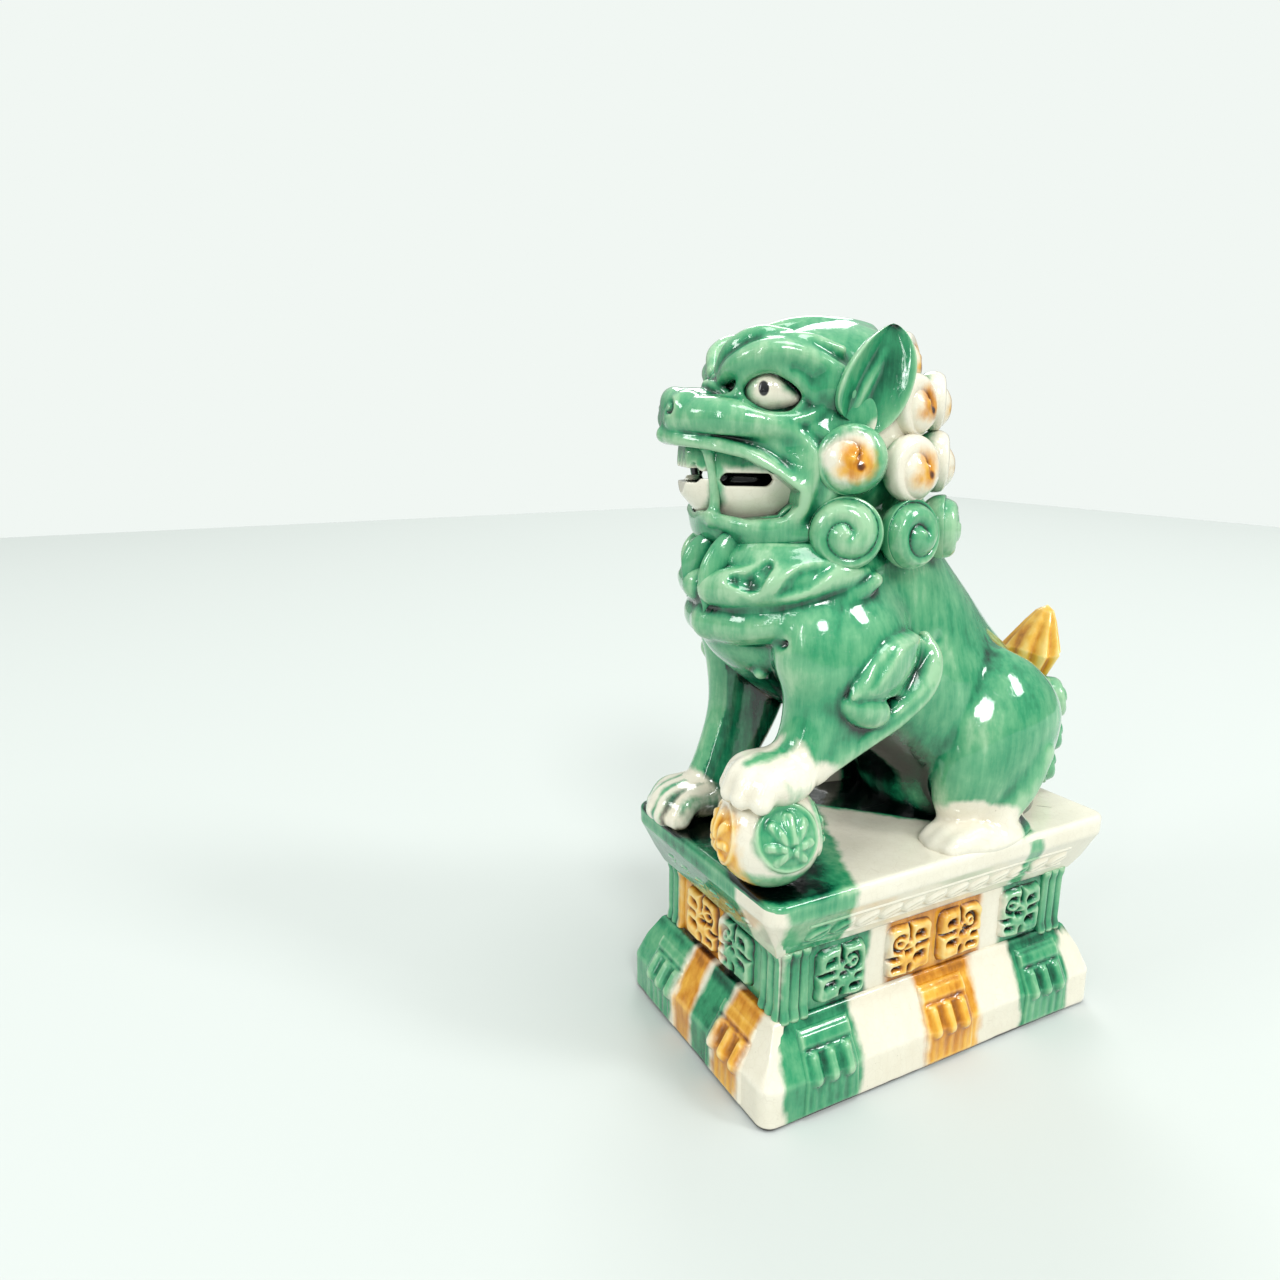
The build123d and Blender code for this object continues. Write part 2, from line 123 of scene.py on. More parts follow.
def grid_faces(rows, columns, close_columns=False):
    """Quads of a grid of points numbered row by row; closed columns join the last one to the first."""
    down = np.arange(rows - 1)[:, None]
    along = np.arange(columns if close_columns else columns - 1)[None, :]
    below, right = down + 1, (along + 1) % columns
    corners = [down * columns + along, down * columns + right, below * columns + right,
               below * columns + along]
    return np.stack([np.broadcast_to(c, (len(down), along.size)).ravel() for c in corners], 1)


def make_piece(name, points, faces, nodes, paint, weld=True, reach=2.0):
    """Points (n, 3) in millimetres and quads (m, 4) become a welded, outward, painted mesh object."""
    mesh = bpy.data.meshes.new(name)
    mesh.from_pydata((points * MM).tolist(), [], faces.tolist())
    if weld:
        shape = bmesh.new()
        shape.from_mesh(mesh)
        bmesh.ops.remove_doubles(shape, verts=shape.verts, dist=0.01 * MM)
        bmesh.ops.recalc_face_normals(shape, faces=shape.faces)
        shape.to_mesh(mesh)
        shape.free()
    mesh.shade_smooth()
    count = len(mesh.vertices)
    flat = np.empty(count * 3)
    mesh.vertices.foreach_get("co", flat)
    places = flat.reshape(-1, 3) / MM
    mesh.vertices.foreach_get("normal", flat)
    normals = flat.reshape(-1, 3).copy()
    pairs = np.empty(len(mesh.edges) * 2, np.int64)
    mesh.edges.foreach_get("vertices", pairs)
    painted = {paint_name: np.full(count, NONE) for paint_name in PAINTS}
    painted["deep"] = np.zeros(count)
    painted.update(paint(places, normals))
    painted["hollow"] = hollows(places, pairs.reshape(-1, 2), normals, reach)
    for attribute, values in painted.items():
        layer = mesh.attributes.new(attribute, "FLOAT", "POINT")
        layer.data.foreach_set("value", np.clip(values, NONE, -NONE).astype(np.float32))
    piece = bpy.data.objects.new(name, mesh)
    bpy.context.scene.collection.objects.link(piece)
    mesh.materials.append(bpy.data.materials[GLAZE])
    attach(piece, "root")
    if nodes:
        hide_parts(*nodes)
    print(f"{name}: {count} points, {len(mesh.polygons)} faces")


def all_green(**more):
    """A paint that is green all over, with any other paints given as one number each."""
    def paint(points, normals):
        values = dict(green=ALL_OVER, **more)
        return {name: np.full(len(points), value) for name, value in values.items()}
    return paint


# %% [markdown]
# The glaze itself. A lead glaze is coloured glass: where it lies thin the pale clay shines through it,
# where it lies deep it goes almost black. So the colour of each glaze is a ramp over one number, its
# depth, which adds up the hollow of the surface, the runs that ran down the sides, and the crease
# between neighbouring pieces found with ambient occlusion. Three such ramps are mixed by the splashes.
# %% Glaze material
GLAZE = "three_colour_glaze"


class Graph:
    """A short way to add linked nodes to a material."""

    def __init__(self, material):
        material.use_nodes = True
        self.tree = material.node_tree
        self.tree.nodes.clear()

    def add(self, kind, settings=None, **inputs):
        """A node; its inputs are given by name, or by number as i0, i1, and are values or sockets."""
        node = self.tree.nodes.new(kind)
        for key, value in (settings or {}).items():
            setattr(node, key, value)
        for key, value in inputs.items():
            numbered = key[0] == "i" and key[1:].isdigit()
            socket = node.inputs[int(key[1:]) if numbered else key.replace("_", " ")]
            if isinstance(value, bpy.types.NodeSocket):
                self.tree.links.new(value, socket)
            else:
                socket.default_value = value
        return node

    def maths(self, operation, *values):
        """Arithmetic on one to three values."""
        inputs = {f"i{k}": value for k, value in enumerate(values)}
        return self.add("ShaderNodeMath", {"operation": operation}, **inputs).outputs[0]

    def noise(self, where, scale, detail=3.0, rough=0.5):
        """Cloudy noise between 0 and 1."""
        return self.add("ShaderNodeTexNoise", Vector=where, Scale=scale, Detail=detail,
                        Roughness=rough).outputs["Fac"]

    def attribute(self, name):
        """A number painted on the points."""
        return self.add("ShaderNodeAttribute", {"attribute_name": name}).outputs["Fac"]

    def fade(self, value, low, high, to_low=0.0, to_high=1.0):
        """An S curve from to_low at low to to_high at high."""
        inputs = dict(Value=value, From_Min=low, From_Max=high, To_Min=to_low, To_Max=to_high)
        settings = {"interpolation_type": "SMOOTHSTEP", "clamp": True}
        return self.add("ShaderNodeMapRange", settings, **inputs).outputs[0]

    def ramp(self, value, stops):
        """A colour read from a row of (place, colour) stops."""
        node = self.add("ShaderNodeValToRGB", Fac=value)
        keys = node.color_ramp.elements
        while len(keys) < len(stops):
            keys.new(0.5)
        for key, (place, colour) in zip(keys, stops):
            key.position = place
            key.color = (*colour, 1.0)
        return node.outputs["Color"]

    def mix(self, amount, one, two):
        """Colour one, or colour two where the amount is 1."""
        node = self.add("ShaderNodeMix", {"data_type": "RGBA"})
        for socket, value in ((node.inputs[0], amount), (node.inputs[6], one), (node.inputs[7], two)):
            if isinstance(value, bpy.types.NodeSocket):
                self.tree.links.new(value, socket)
            else:
                socket.default_value = value
        return node.outputs[2]


CREAM = [(0.0, (0.78, 0.74, 0.62)), (0.45, (0.70, 0.645, 0.51)), (0.75, (0.50, 0.47, 0.31)),
         (1.0, (0.16, 0.20, 0.10))]
GREEN = [(0.0, (0.30, 0.52, 0.31)), (0.2, (0.12, 0.38, 0.19)), (0.42, (0.030, 0.27, 0.12)),
         (0.62, (0.005, 0.12, 0.055)), (0.80, (0.0008, 0.022, 0.012)), (1.0, (0.0003, 0.003, 0.002))]
AMBER = [(0.0, (0.84, 0.60, 0.20)), (0.25, (0.78, 0.42, 0.05)), (0.5, (0.55, 0.21, 0.010)),
         (0.75, (0.20, 0.06, 0.005)), (1.0, (0.02, 0.007, 0.004))]


def glaze_material():
    """One glaze for every piece: depth picks the tone, the painted splashes pick the colour."""
    material = bpy.data.materials.new(GLAZE)
    g = Graph(material)
    where = g.add("ShaderNodeTexCoord").outputs["Object"]
    runs_map = g.add("ShaderNodeMapping", Vector=where, Scale=(1.0, 1.0, 0.16)).outputs[0]
    runs = g.noise(runs_map, 260.0, 4.0, 0.6)
    clouds = g.noise(where, 48.0, 4.0, 0.5)
    brush = g.noise(where, 420.0, 5.0, 0.6)
    creases = g.add("ShaderNodeAmbientOcclusion", {"samples": 8, "inside": False},
                    Distance=0.006).outputs["AO"]
    shut = g.fade(creases, 0.95, 0.25)

    depth = g.maths("MULTIPLY_ADD", g.attribute("hollow"), 0.72, 0.33)
    depth = g.maths("MULTIPLY_ADD", shut, 0.34, depth)
    depth = g.maths("MULTIPLY_ADD", g.maths("SUBTRACT", runs, 0.5), 0.62, depth)
    depth = g.maths("MULTIPLY_ADD", g.maths("SUBTRACT", clouds, 0.5), 0.80, depth)
    depth = g.maths("MULTIPLY_ADD", g.maths("SUBTRACT", brush, 0.5), 0.16, depth)
    depth = g.maths("ADD", depth, g.attribute("deep"))

    ragged = g.maths("MULTIPLY_ADD", g.maths("SUBTRACT", g.noise(where, 95.0, 4.0, 0.5), 0.5), 7.0, 0.0)
    ragged = g.maths("MULTIPLY_ADD", g.maths("SUBTRACT", runs, 0.5), 2.4, ragged)
    cover = {}
    for colour, soft in (("green", 1.6), ("amber", 2.0)):
        edge = g.maths("ADD", g.attribute(colour), ragged)
        cover[colour] = g.fade(edge, -soft, soft)
    cream_depth = g.maths("MULTIPLY_ADD", depth, 0.62, -0.05)
    colour = g.ramp(cream_depth, CREAM)
    # Crazing: hair-fine cracks in the clear glaze, stained a little.
    cells = g.add("ShaderNodeTexVoronoi", {"feature": "DISTANCE_TO_EDGE"}, Vector=where,
                  Scale=330.0).outputs["Distance"]
    crazing = g.fade(cells, 0.0, 0.035, 0.14, 0.0)
    colour = g.mix(crazing, colour, (0.42, 0.33, 0.22, 1.0))
    specks = g.fade(g.noise(where, 900.0, 2.0, 0.5), 0.74, 0.80, 0.0, 0.45)
    colour = g.mix(specks, colour, (0.30, 0.24, 0.15, 1.0))
    colour = g.mix(cover["green"], colour, g.ramp(depth, GREEN))
    colour = g.mix(cover["amber"], colour, g.ramp(depth, AMBER))
    # Black: black glaze for the pupils, and painted shade inside the hollow head, behind the teeth and on
    # the tongue.
    ink = g.fade(g.attribute("ink"), -0.25, 0.25)
    colour = g.mix(ink, colour, (0.006, 0.006, 0.008, 1.0))
    # Dry clay, near black: partly the unglazed rim, partly a painted contact shadow where the plinth meets
    # the floor.
    bare = g.fade(g.maths("MULTIPLY_ADD", g.maths("SUBTRACT", clouds, 0.5), 2.0, g.attribute("bare")), -0.3,
                  0.3)
    colour = g.mix(bare, colour, (0.035, 0.030, 0.026, 1.0))

    swell = g.maths("MULTIPLY", g.noise(where, 95.0, 2.0, 0.4), 1.0)
    ripple = g.maths("MULTIPLY_ADD", g.noise(runs_map, 400.0, 2.0, 0.5), 0.14, swell)
    pits = g.fade(g.noise(where, 1500.0, 1.0, 0.5), 0.70, 0.80, 0.0, -0.16)
    height = g.maths("ADD", ripple, pits)
    height = g.maths("MULTIPLY_ADD", crazing, -0.10, height)
    bump = g.add("ShaderNodeBump", Height=height, Strength=0.35, Distance=0.0012).outputs[0]
    rough = g.fade(g.noise(where, 200.0, 3.0, 0.5), 0.35, 0.75, 0.045, 0.12)
    rough = g.maths("MULTIPLY_ADD", bare, 0.6, rough)
    shader = g.add("ShaderNodeBsdfPrincipled", Base_Color=colour, Roughness=rough, Normal=bump, IOR=1.52,
                   Coat_Weight=0.4, Coat_Roughness=0.03, Coat_IOR=1.5)
    g.add("ShaderNodeOutputMaterial", Surface=shader.outputs[0])
    return material


glaze_material()
print("glaze mixed:", GLAZE)

# %% [markdown]
# The plinth was pressed in a mould as a foot, a waist and a slab. Each is one profile carried round a
# rounded rectangle: the two parameters are the distance round the outline and the distance along the
# profile. Clay is never dead flat or square, so every point is also pushed in or out by a slow wave of
# about a third of a millimetre.
# %% Outlines and profiles
FOOT = np.array(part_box("plinth_foot")) / MM
WAIST = np.array(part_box("plinth_waist")) / MM
SLAB = np.array(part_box("plinth_slab")) / MM
FOOT_HALF, WAIST_HALF, SLAB_HALF = FOOT[1, :2], WAIST[1, :2], SLAB[1, :2]
WAIST_LOW, WAIST_HIGH, SLAB_TOP = WAIST[0, 2], WAIST[1, 2], SLAB[1, 2]
FOOT_BAND = 15.0
SLAB_EDGE = SLAB_TOP - 7.0
WALL = 7.0


def slow_wave(points, size=0.35):
    """A smooth push in millimetres: the sum of three slow sine waves that cross at odd angles."""
    x, y, z = points[..., 0], points[..., 1], points[..., 2]
    wave = np.sin(0.071 * x + 0.043 * y + 0.9) + np.sin(0.052 * y - 0.088 * z + 2.1)
    wave = wave + np.sin(0.11 * z + 0.061 * x)
    return size * wave / 3.0


def smooth_step(value, low, high):
    """0 below low, 1 above high, an S curve between."""
    t = np.clip((value - low) / (high - low), 0.0, 1.0)
    return t * t * (3.0 - 2.0 * t)


def outline(half, radius, count):
    """Points and outward directions round a rounded rectangle, evenly spaced, from the -X -Y corner on."""
    straight = 2 * (half - radius)
    arc = radius * math.pi / 2
    lengths = np.array([straight[0], arc, straight[1], arc] * 2)
    starts = np.concatenate([[0], np.cumsum(lengths)])
    at = np.linspace(0, starts[-1], count, endpoint=False)
    which = np.searchsorted(starts, at, side="right") - 1
    along = at - starts[which]
    turn = (which // 2) * math.pi / 2
    bend = np.where(which % 2 == 1, along / radius, 0.0)
    way = turn + bend
    side = np.minimum(which // 2, 3)
    corner_signs = np.array([(1, -1), (1, 1), (-1, 1), (-1, -1)])[side]
    centre = corner_signs * (half - radius)
    out = np.stack([np.sin(way), -np.cos(way)], 1)
    on_arc = centre + radius * out
    direction = np.stack([np.cos(turn), np.sin(turn)], 1)
    start = centre - direction * np.array([straight[0], straight[1]] * 2)[side][:, None]
    on_line = start + direction * along[:, None] + radius * out
    return np.where((which % 2 == 1)[:, None], on_arc, on_line), out


def soft_profile(corners, radius, spacing):
    """A closed or open list of (inset, height) corners, rounded and evenly spaced along its length."""
    corners = np.array(corners, float)
    lengths = np.linalg.norm(np.diff(corners, axis=0), axis=1)
    fine = np.linspace(0, lengths.sum(), max(8, int(lengths.sum() / 0.1)))
    at = np.concatenate([[0], np.cumsum(lengths)])
    raw = np.stack([np.interp(fine, at, corners[:, i]) for i in range(2)], 1)
    window = max(3, int(radius / 0.1) | 1)
    kernel = np.hanning(window + 2)[1:-1]
    kernel /= kernel.sum()
    padded = np.concatenate([np.repeat(raw[:1], window // 2, 0), raw, np.repeat(raw[-1:], window // 2, 0)])
    smooth = np.stack([np.convolve(padded[:, i], kernel, "valid") for i in range(2)], 1)
    smooth[0], smooth[-1] = raw[0], raw[-1]
    rows = max(6, int(lengths.sum() / spacing))
    pick = np.linspace(0, len(smooth) - 1, rows).astype(int)
    return smooth[pick]


def carried_round(half, radius, profile, spacing, waves=0.35):
    """Each profile point, inset by its first number, is carried round the outline at its own height."""
    count = int(4 * (half[0] + half[1]) / spacing)
    ring, out = outline(half, radius, count)
    inset, height = profile[:, 0][:, None], profile[:, 1][:, None]
    limit = half.min() - 0.5
    plain = ring[None] - out[None] * np.minimum(inset, radius - 0.3)[..., None]
    # Past the corner's radius the ring shrinks evenly towards the middle line.
    more = np.maximum(inset - (radius - 0.3), 0.0)[..., None]
    inner_half = half - (radius - 0.3)
    shrink = np.clip((inner_half - more) / inner_half, 0.0, 1.0)
    points = np.empty((len(profile), count, 3))
    points[..., :2] = plain * shrink
    points[..., 2] = np.broadcast_to(height, points.shape[:2])
    push = slow_wave(points, waves) * (points[..., 2] > 0.6) * (inset < limit * 0.4)
    points[..., :2] += out[None] * push[..., None]
    return points


# %% [markdown]
# Where the splashes fell on the plinth. Each face is a row of bands, named by the lion's own left,
# front, right and back, with where each band starts and ends along the face. A band keeps its width
# all the way down, and the shader's ragged edge does the rest.
# %% Splashes on the plinth
# The bands lie along Y on the left and right faces and along X on the front and back: start, end, colour.
BANDS = {
    "left": [(-72, -39, "green"), (-9, 18, "amber"), (39, 66, "green")],
    "front": [(-60, -14, "green"), (-12, -1, "amber"), (0, 15, "green"), (17, 32, "amber")],
    "right": [(-78, -40, "green"), (-18, 12, "amber"), (36, 70, "green")],
    "back": [(-40, -14, "green"), (-9, 10, "amber"), (20, 40, "green")],
}
WAIST_BANDS = {
    "left": [(-68, -31, "green"), (-21, 24, "amber"), (35, 70, "green")],
    "front": [(-38, -28, "green"), (-29, 3, "amber"), (6, 40, "green")],
    "right": [(-70, -30, "green"), (-24, 22, "amber"), (30, 70, "green")],
    "back": [(-40, -20, "green"), (-14, 16, "amber"), (22, 40, "green")],
}
SLAB_BANDS = {
    "left": [(-72, -45, "green"), (36, 43, "green")],
    "front": [(-60, 26, "green")],
    "right": [(-90, -48, "green"), (10, 18, "green")],
    "back": [(-14, -2, "green"), (28, 34, "green")],
}


def banded(points, table, half):
    """Signed distances inside the green and amber bands of the face that each point belongs to."""
    x, y = points[:, 0], points[:, 1]
    on_long = np.abs(x) / half[0] > np.abs(y) / half[1] * 0.98
    across = np.where(on_long, y, x)
    face = np.where(on_long, np.where(x > 0, 0, 2), np.where(y < 0, 1, 3))
    result = {"green": np.full(len(points), NONE), "amber": np.full(len(points), NONE)}
    for number, side in enumerate(("left", "front", "right", "back")):
        here = face == number
        for start, end, colour in table[side]:
            inside = np.minimum(across - start, end - across)
            result[colour] = np.where(here, np.maximum(result[colour], inside), result[colour])
    return result


def foot_paint(points, normals):
    """Bands that run down the foot, a pool on its shoulder, and the dry rim it stands on, darkened as
    painted contact shadow.
    """
    painted = banded(points, BANDS, FOOT_HALF)
    z = points[:, 2]
    x, y = np.abs(points[:, 0]), np.abs(points[:, 1])
    inner = (x < FOOT_HALF[0] - WALL + 1) & (y < FOOT_HALF[1] - WALL + 1) & (z < FOOT_BAND + 10)
    # Painted shadow: the bottom rim is painted dry and near black, for the unglazed clay and the contact
    # shadow along it.
    painted["bare"] = np.where(inner, 5.0, 1.5 - z)
    painted["deep"] = 0.34 * smooth_step(z, WAIST_LOW - 5, WAIST_LOW) + 0.05
    return painted


def waist_paint(points, normals):
    """Bands on the waist, deep at its top and bottom where it meets the mouldings."""
    painted = banded(points, WAIST_BANDS, WAIST_HALF)
    z = points[:, 2]
    painted["deep"] = 0.25 * smooth_step(np.abs(z - (WAIST_LOW + WAIST_HIGH) / 2), 8.0, 12.5)
    return painted


def slab_paint(points, normals):
    """The slab's sides are banded; its top is green in front, cream behind, and painted black as shade
    under the belly.
    """
    painted = banded(points, SLAB_BANDS, SLAB_HALF)
    x, y, z = points.T
    top = smooth_step(z, SLAB_TOP - 2.5, SLAB_TOP - 0.6)
    front_end = (-22.0 - 0.5 * x - y) * 0.9
    belly = np.minimum((y + 7.7 - 0.91 * x) * 0.74, 26.0 - x)
    belly = np.where(y > 30, np.minimum(belly, 40.0 - y), belly)
    drip = 3.4 - np.abs(x - 42.0 + (y - 37.0) * 0.2)
    drip = np.minimum(drip, 4.0 - np.abs(y - 37.0))
    green_top = np.maximum(np.maximum(front_end, belly), drip)
    painted["green"] = np.where(z > SLAB_TOP - 2.0, green_top, painted["green"])
    ball_ring = np.hypot(x - 30.5, y + 70.0)
    paw_ring = np.hypot((x + 27.0) * 0.9, (y + 64.0) * 0.7)
    # Painted shade: the slab top under the lion's belly is given full depth, so it goes black. The rings
    # round the ball and the right forepaw are deeper glaze and painted shade, and the green front deepens
    # inwards.
    pools_and_shade = smooth_step(belly, 0.5, 4.0) * 1.0
    pools_and_shade += 0.55 * smooth_step(-ball_ring, -15.0, -10.0) + 0.6 * smooth_step(-paw_ring, -20.0, -13.0)
    pools_and_shade += 0.45 * smooth_step(front_end, 3.0, 13.0)
    # Painted shade: faces turned to the front are darkened a little.
    front_face_shade = 0.15 * np.clip(-normals[:, 1], 0, 1)
    painted["deep"] = pools_and_shade * top + front_face_shade - 0.08 * smooth_step(np.abs(z - (SLAB_TOP - 2.0)), 3.0, 0.5)
    painted["bare"] = np.where(normals[:, 2] < -0.95, 3.0, NONE)
    return painted


# %% [markdown]
# Foot, waist and slab. The foot's profile runs up its outside, over the shoulder to the waist, and back
# down its inside. The slab's top closes on its middle line, so that ring shrinks to a thin slot which
# the weld closes.
# %% Plinth pieces
SPACING = 0.9


def ring_piece(name, half, radius, corners, soft, nodes, paint):
    """A rounded-rectangle ring from a closed profile of (inset, height)."""
    profile = soft_profile(corners, soft, SPACING)
    points = carried_round(half, radius, profile, SPACING)
    rows, columns = points.shape[:2]
    faces = grid_faces(rows, columns, close_columns=True)
    make_piece(name, points.reshape(-1, 3), faces, nodes, paint)


foot_rise = FOOT_HALF[0] - WAIST_HALF[0]
ring_piece("foot_of_plinth", FOOT_HALF, 5.0,
           [(WALL, 0), (1.0, 0), (0, 1.2), (0, FOOT_BAND), (foot_rise - 1.0, WAIST_LOW),
            (foot_rise + 3, WAIST_LOW + 0.6), (foot_rise + 5, WAIST_LOW - 1), (WALL, FOOT_BAND), (WALL, 0)],
            1.6,
           ["plinth_foot"], foot_paint)
ring_piece("waist_of_plinth", WAIST_HALF, 2.0,
           [(0.4, WAIST_LOW - 2), (0, WAIST_LOW), (0, WAIST_HIGH), (0.4, WAIST_HIGH + 2),
            (WALL, WAIST_HIGH + 2), (WALL, WAIST_LOW - 2), (0.4, WAIST_LOW - 2)], 1.0,
           ["plinth_waist"], waist_paint)
slab_rise = SLAB_HALF[0] - WAIST_HALF[0]
ring_piece("slab_of_plinth", SLAB_HALF, 6.0,
           [(slab_rise + 8, WAIST_HIGH + 8), (slab_rise + 4, WAIST_HIGH - 0.5),
            (slab_rise - 0.6, WAIST_HIGH - 0.5), (0.8, SLAB_EDGE - 1.5), (0, SLAB_EDGE),
            (0, SLAB_TOP - 1.0), (1.0, SLAB_TOP), (SLAB_HALF[0] - 0.02, SLAB_TOP)], 2.2,
           ["plinth_slab"], slab_paint)

# %% [markdown]
# The relief on the plinth was carved into the mould: key frets on the waist, three-tongued tassels on
# the foot, a running band of leaves under the slab, reeded pilasters at the corners. Each is a skin over
# a flat grid, u along the face and v up it. Its height is a soft step of the distance to a drawing made
# of strokes, and it starts just under the wall, so only the strokes stand out, with glaze-soft feet.
# %% Relief tools
def stroke_distance(u, v, strokes):
    """Distance from each grid point to the nearest stroke; a stroke is x0, y0, x1, y1, half width."""
    best = np.full(np.broadcast(u, v).shape, 99.0)
    for x0, y0, x1, y1, half_width in strokes:
        dx, dy = x1 - x0, y1 - y0
        t = np.clip(((u - x0) * dx + (v - y0) * dy) / max(dx * dx + dy * dy, 1e-9), 0, 1)
        best = np.minimum(best, np.hypot(u - x0 - t * dx, v - y0 - t * dy) - half_width)
    return best


def arc_strokes(cx, cy, radius, start, end, half_width, count=10):
    """An arc of a circle as short strokes, from the start to the end angle in degrees."""
    turn = np.radians(np.linspace(start, end, count + 1))
    x, y = cx + radius * np.cos(turn), cy + radius * np.sin(turn)
    return [(x[i], y[i], x[i + 1], y[i + 1], half_width) for i in range(count)]


SIDES = {"left": ((1, 0, 0), (0, 1, 0)), "right": ((-1, 0, 0), (0, -1, 0)),
         "front": ((0, -1, 0), (1, 0, 0)), "back": ((0, 1, 0), (-1, 0, 0))}


def side_half(side, half):
    """The reach of the side's face from the middle, and half its length."""
    return (half[0], half[1]) if side in ("left", "right") else (half[1], half[0])


def relief_skin(name, u, v, height, place, nodes, paint, backing=-1.6):
    """A height map on grid u, v, put in place by a function of (u, v, height), closed with a flat back."""
    rows, columns = height.shape
    front = place(u, v, height).reshape(-1, 3)
    back = place(u, v, np.full_like(height, backing)).reshape(-1, 3)
    faces = grid_faces(rows, columns)
    count = rows * columns
    index = np.arange(count).reshape(rows, columns)
    rim = np.concatenate([index[0, :-1], index[:-1, -1], index[-1, :0:-1], index[:0:-1, 0]])
    after = np.roll(rim, -1)
    sides = np.stack([rim, rim + count, after + count, after], 1)
    both = np.concatenate([faces, faces[:, ::-1] + count, sides])
    make_piece(name, np.concatenate([front, back]), both, nodes, paint, reach=1.5)


def side_place(side, reach, base_height):
    """Puts (along, up, out) of one face into the lion's own axes."""
    out, along = (np.array(vector, float) for vector in SIDES[side])

    def place(u, v, height):
        """Along the face, up and out from it."""
        points = out * (reach + height)[..., None] + along * u[..., None]
        points[..., 2] += base_height + v
        return points + out * slow_wave(points)[..., None]
    return place


# %% [markdown]
# A fret is a squared plaque pierced by two small windows and cut with a few hooked grooves. Two
# mirrored ones make a pair. Each face has a pair in its middle, and the long faces one more at
# either end.
# %% Frets
# Where each fret's middle stands along its face, and which way it is turned.
FRETS_ON_LONG = [(-43.5, 1), (-12.2, -1), (12.6, 1), (44.5, -1)]
FRETS_ON_SHORT = [(-11.6, 1), (11.6, -1)]


def fret_strokes(middle, way):
    """The windows and grooves cut into one fret plaque; way 1 turns them to the right, -1 to the left."""
    cuts = [(-5.6, 4.9, -3.4, 4.9, 1.35), (-5.9, -3.6, -3.0, -3.6, 1.25), (-10.2, 0.8, -3.4, 0.8, 0.7),
            (0.3, 10.2, 0.3, 4.4, 0.75), (0.4, -10.2, 0.4, -6.6, 0.7), (0.4, -0.6, 2.0, -0.6, 0.8),
            (10.2, -2.4, 6.4, -2.4, 0.8), (4.6, -6.3, 7.4, -6.3, 0.8)]
    cuts += arc_strokes(4.6, 3.2, 3.1, 120, -150, 0.7) + [(5.0, 3.4, 5.6, 3.4, 0.7)]
    return [(middle + way * a, b, middle + way * c, d, half) for a, b, c, d, half in cuts]


def fret_paint(points, normals):
    """Frets take the colour of the waist bands, with the glaze thin on the bars and deep between them."""
    painted = banded(points, WAIST_BANDS, WAIST_HALF)
    out = np.maximum(np.abs(points[:, 0]) - WAIST_HALF[0], np.abs(points[:, 1]) - WAIST_HALF[1])
    painted["deep"] = 0.02 + 0.30 * smooth_step(1.3 - out, 0.0, 1.6)
    return painted


for side in SIDES:
    reach = side_half(side, WAIST_HALF)[0]
    hands = FRETS_ON_LONG if side in ("left", "right") else FRETS_ON_SHORT
    cuts = [stroke for middle, way in hands for stroke in fret_strokes(middle, way)]
    span = max(abs(m) for m, _ in hands) + 15.0
    u, v = np.meshgrid(np.arange(-span, span, 0.42), np.arange(-11.6, 11.7, 0.42))
    wobble = 0.30 * np.sin(0.5 * u + 0.9 * v) + 0.20 * np.sin(1.1 * v - 0.7 * u)
    above = np.maximum(np.abs(v) - 7.0, 0)
    plaque = np.min([np.hypot(np.maximum(np.abs(u - m) - 7.4, 0), above) - 2.6 for m, _ in hands], axis=0)
    distance = np.maximum(plaque, -stroke_distance(u, v, cuts)) + wobble * 0.4
    height = -0.5 + 2.9 * smooth_step(-distance, -1.2, 0.9) + 0.3 * smooth_step(-distance, 0.5, 1.8)
    height += 0.35 * np.sin(0.31 * u) * (height > 0)
    relief_skin(f"{side}_fret_relief", u, v, height, side_place(side, reach, (WAIST_LOW + WAIST_HIGH) / 2),
                [f"{side}_frets"], fret_paint)

# %% [markdown]
# The tassel panels hang over the foot's slope and band like a curtain: a raised cloth with a scalloped
# pelmet of three drops, and faint pleats below. The grid's v runs down the slope and on down the band,
# round the soft shoulder between them.
# %% Tassels
def foot_place(side):
    """v is measured along the foot's own profile, from the bottom of the band up and over the slope."""
    reach = side_half(side, FOOT_HALF)[0]
    waist_reach = side_half(side, WAIST_HALF)[0] + 1.0
    out, along = (np.array(vector, float) for vector in SIDES[side])
    rise, run = WAIST_LOW - FOOT_BAND, reach - waist_reach
    lean = math.atan2(run, rise)

    def place(u, v, height):
        """Along the face, up its bent profile, and out from it."""
        over = np.maximum(v - FOOT_BAND, 0.0)
        bend = lean * smooth_step(v, FOOT_BAND - 2.5, FOOT_BAND + 2.5)
        inset = over * math.sin(lean)
        level = np.minimum(v, FOOT_BAND) + over * math.cos(lean)
        points = out * (reach - inset + height * np.cos(bend))[..., None] + along * u[..., None]
        points[..., 2] += level + height * np.sin(bend)
        return points + out * slow_wave(points)[..., None]
    return place


def tassel_paint(points, normals):
    """Tassels take the colour of the foot's bands, deeper under the waist."""
    painted = banded(points, BANDS, FOOT_HALF)
    # Painted shadow: the bottom rim is painted dry and near black, as at the foot.
    painted["bare"] = 1.5 - points[:, 2]
    painted["deep"] = 0.05 + 0.25 * smooth_step(points[:, 2], WAIST_LOW - 6, WAIST_LOW - 1)
    return painted


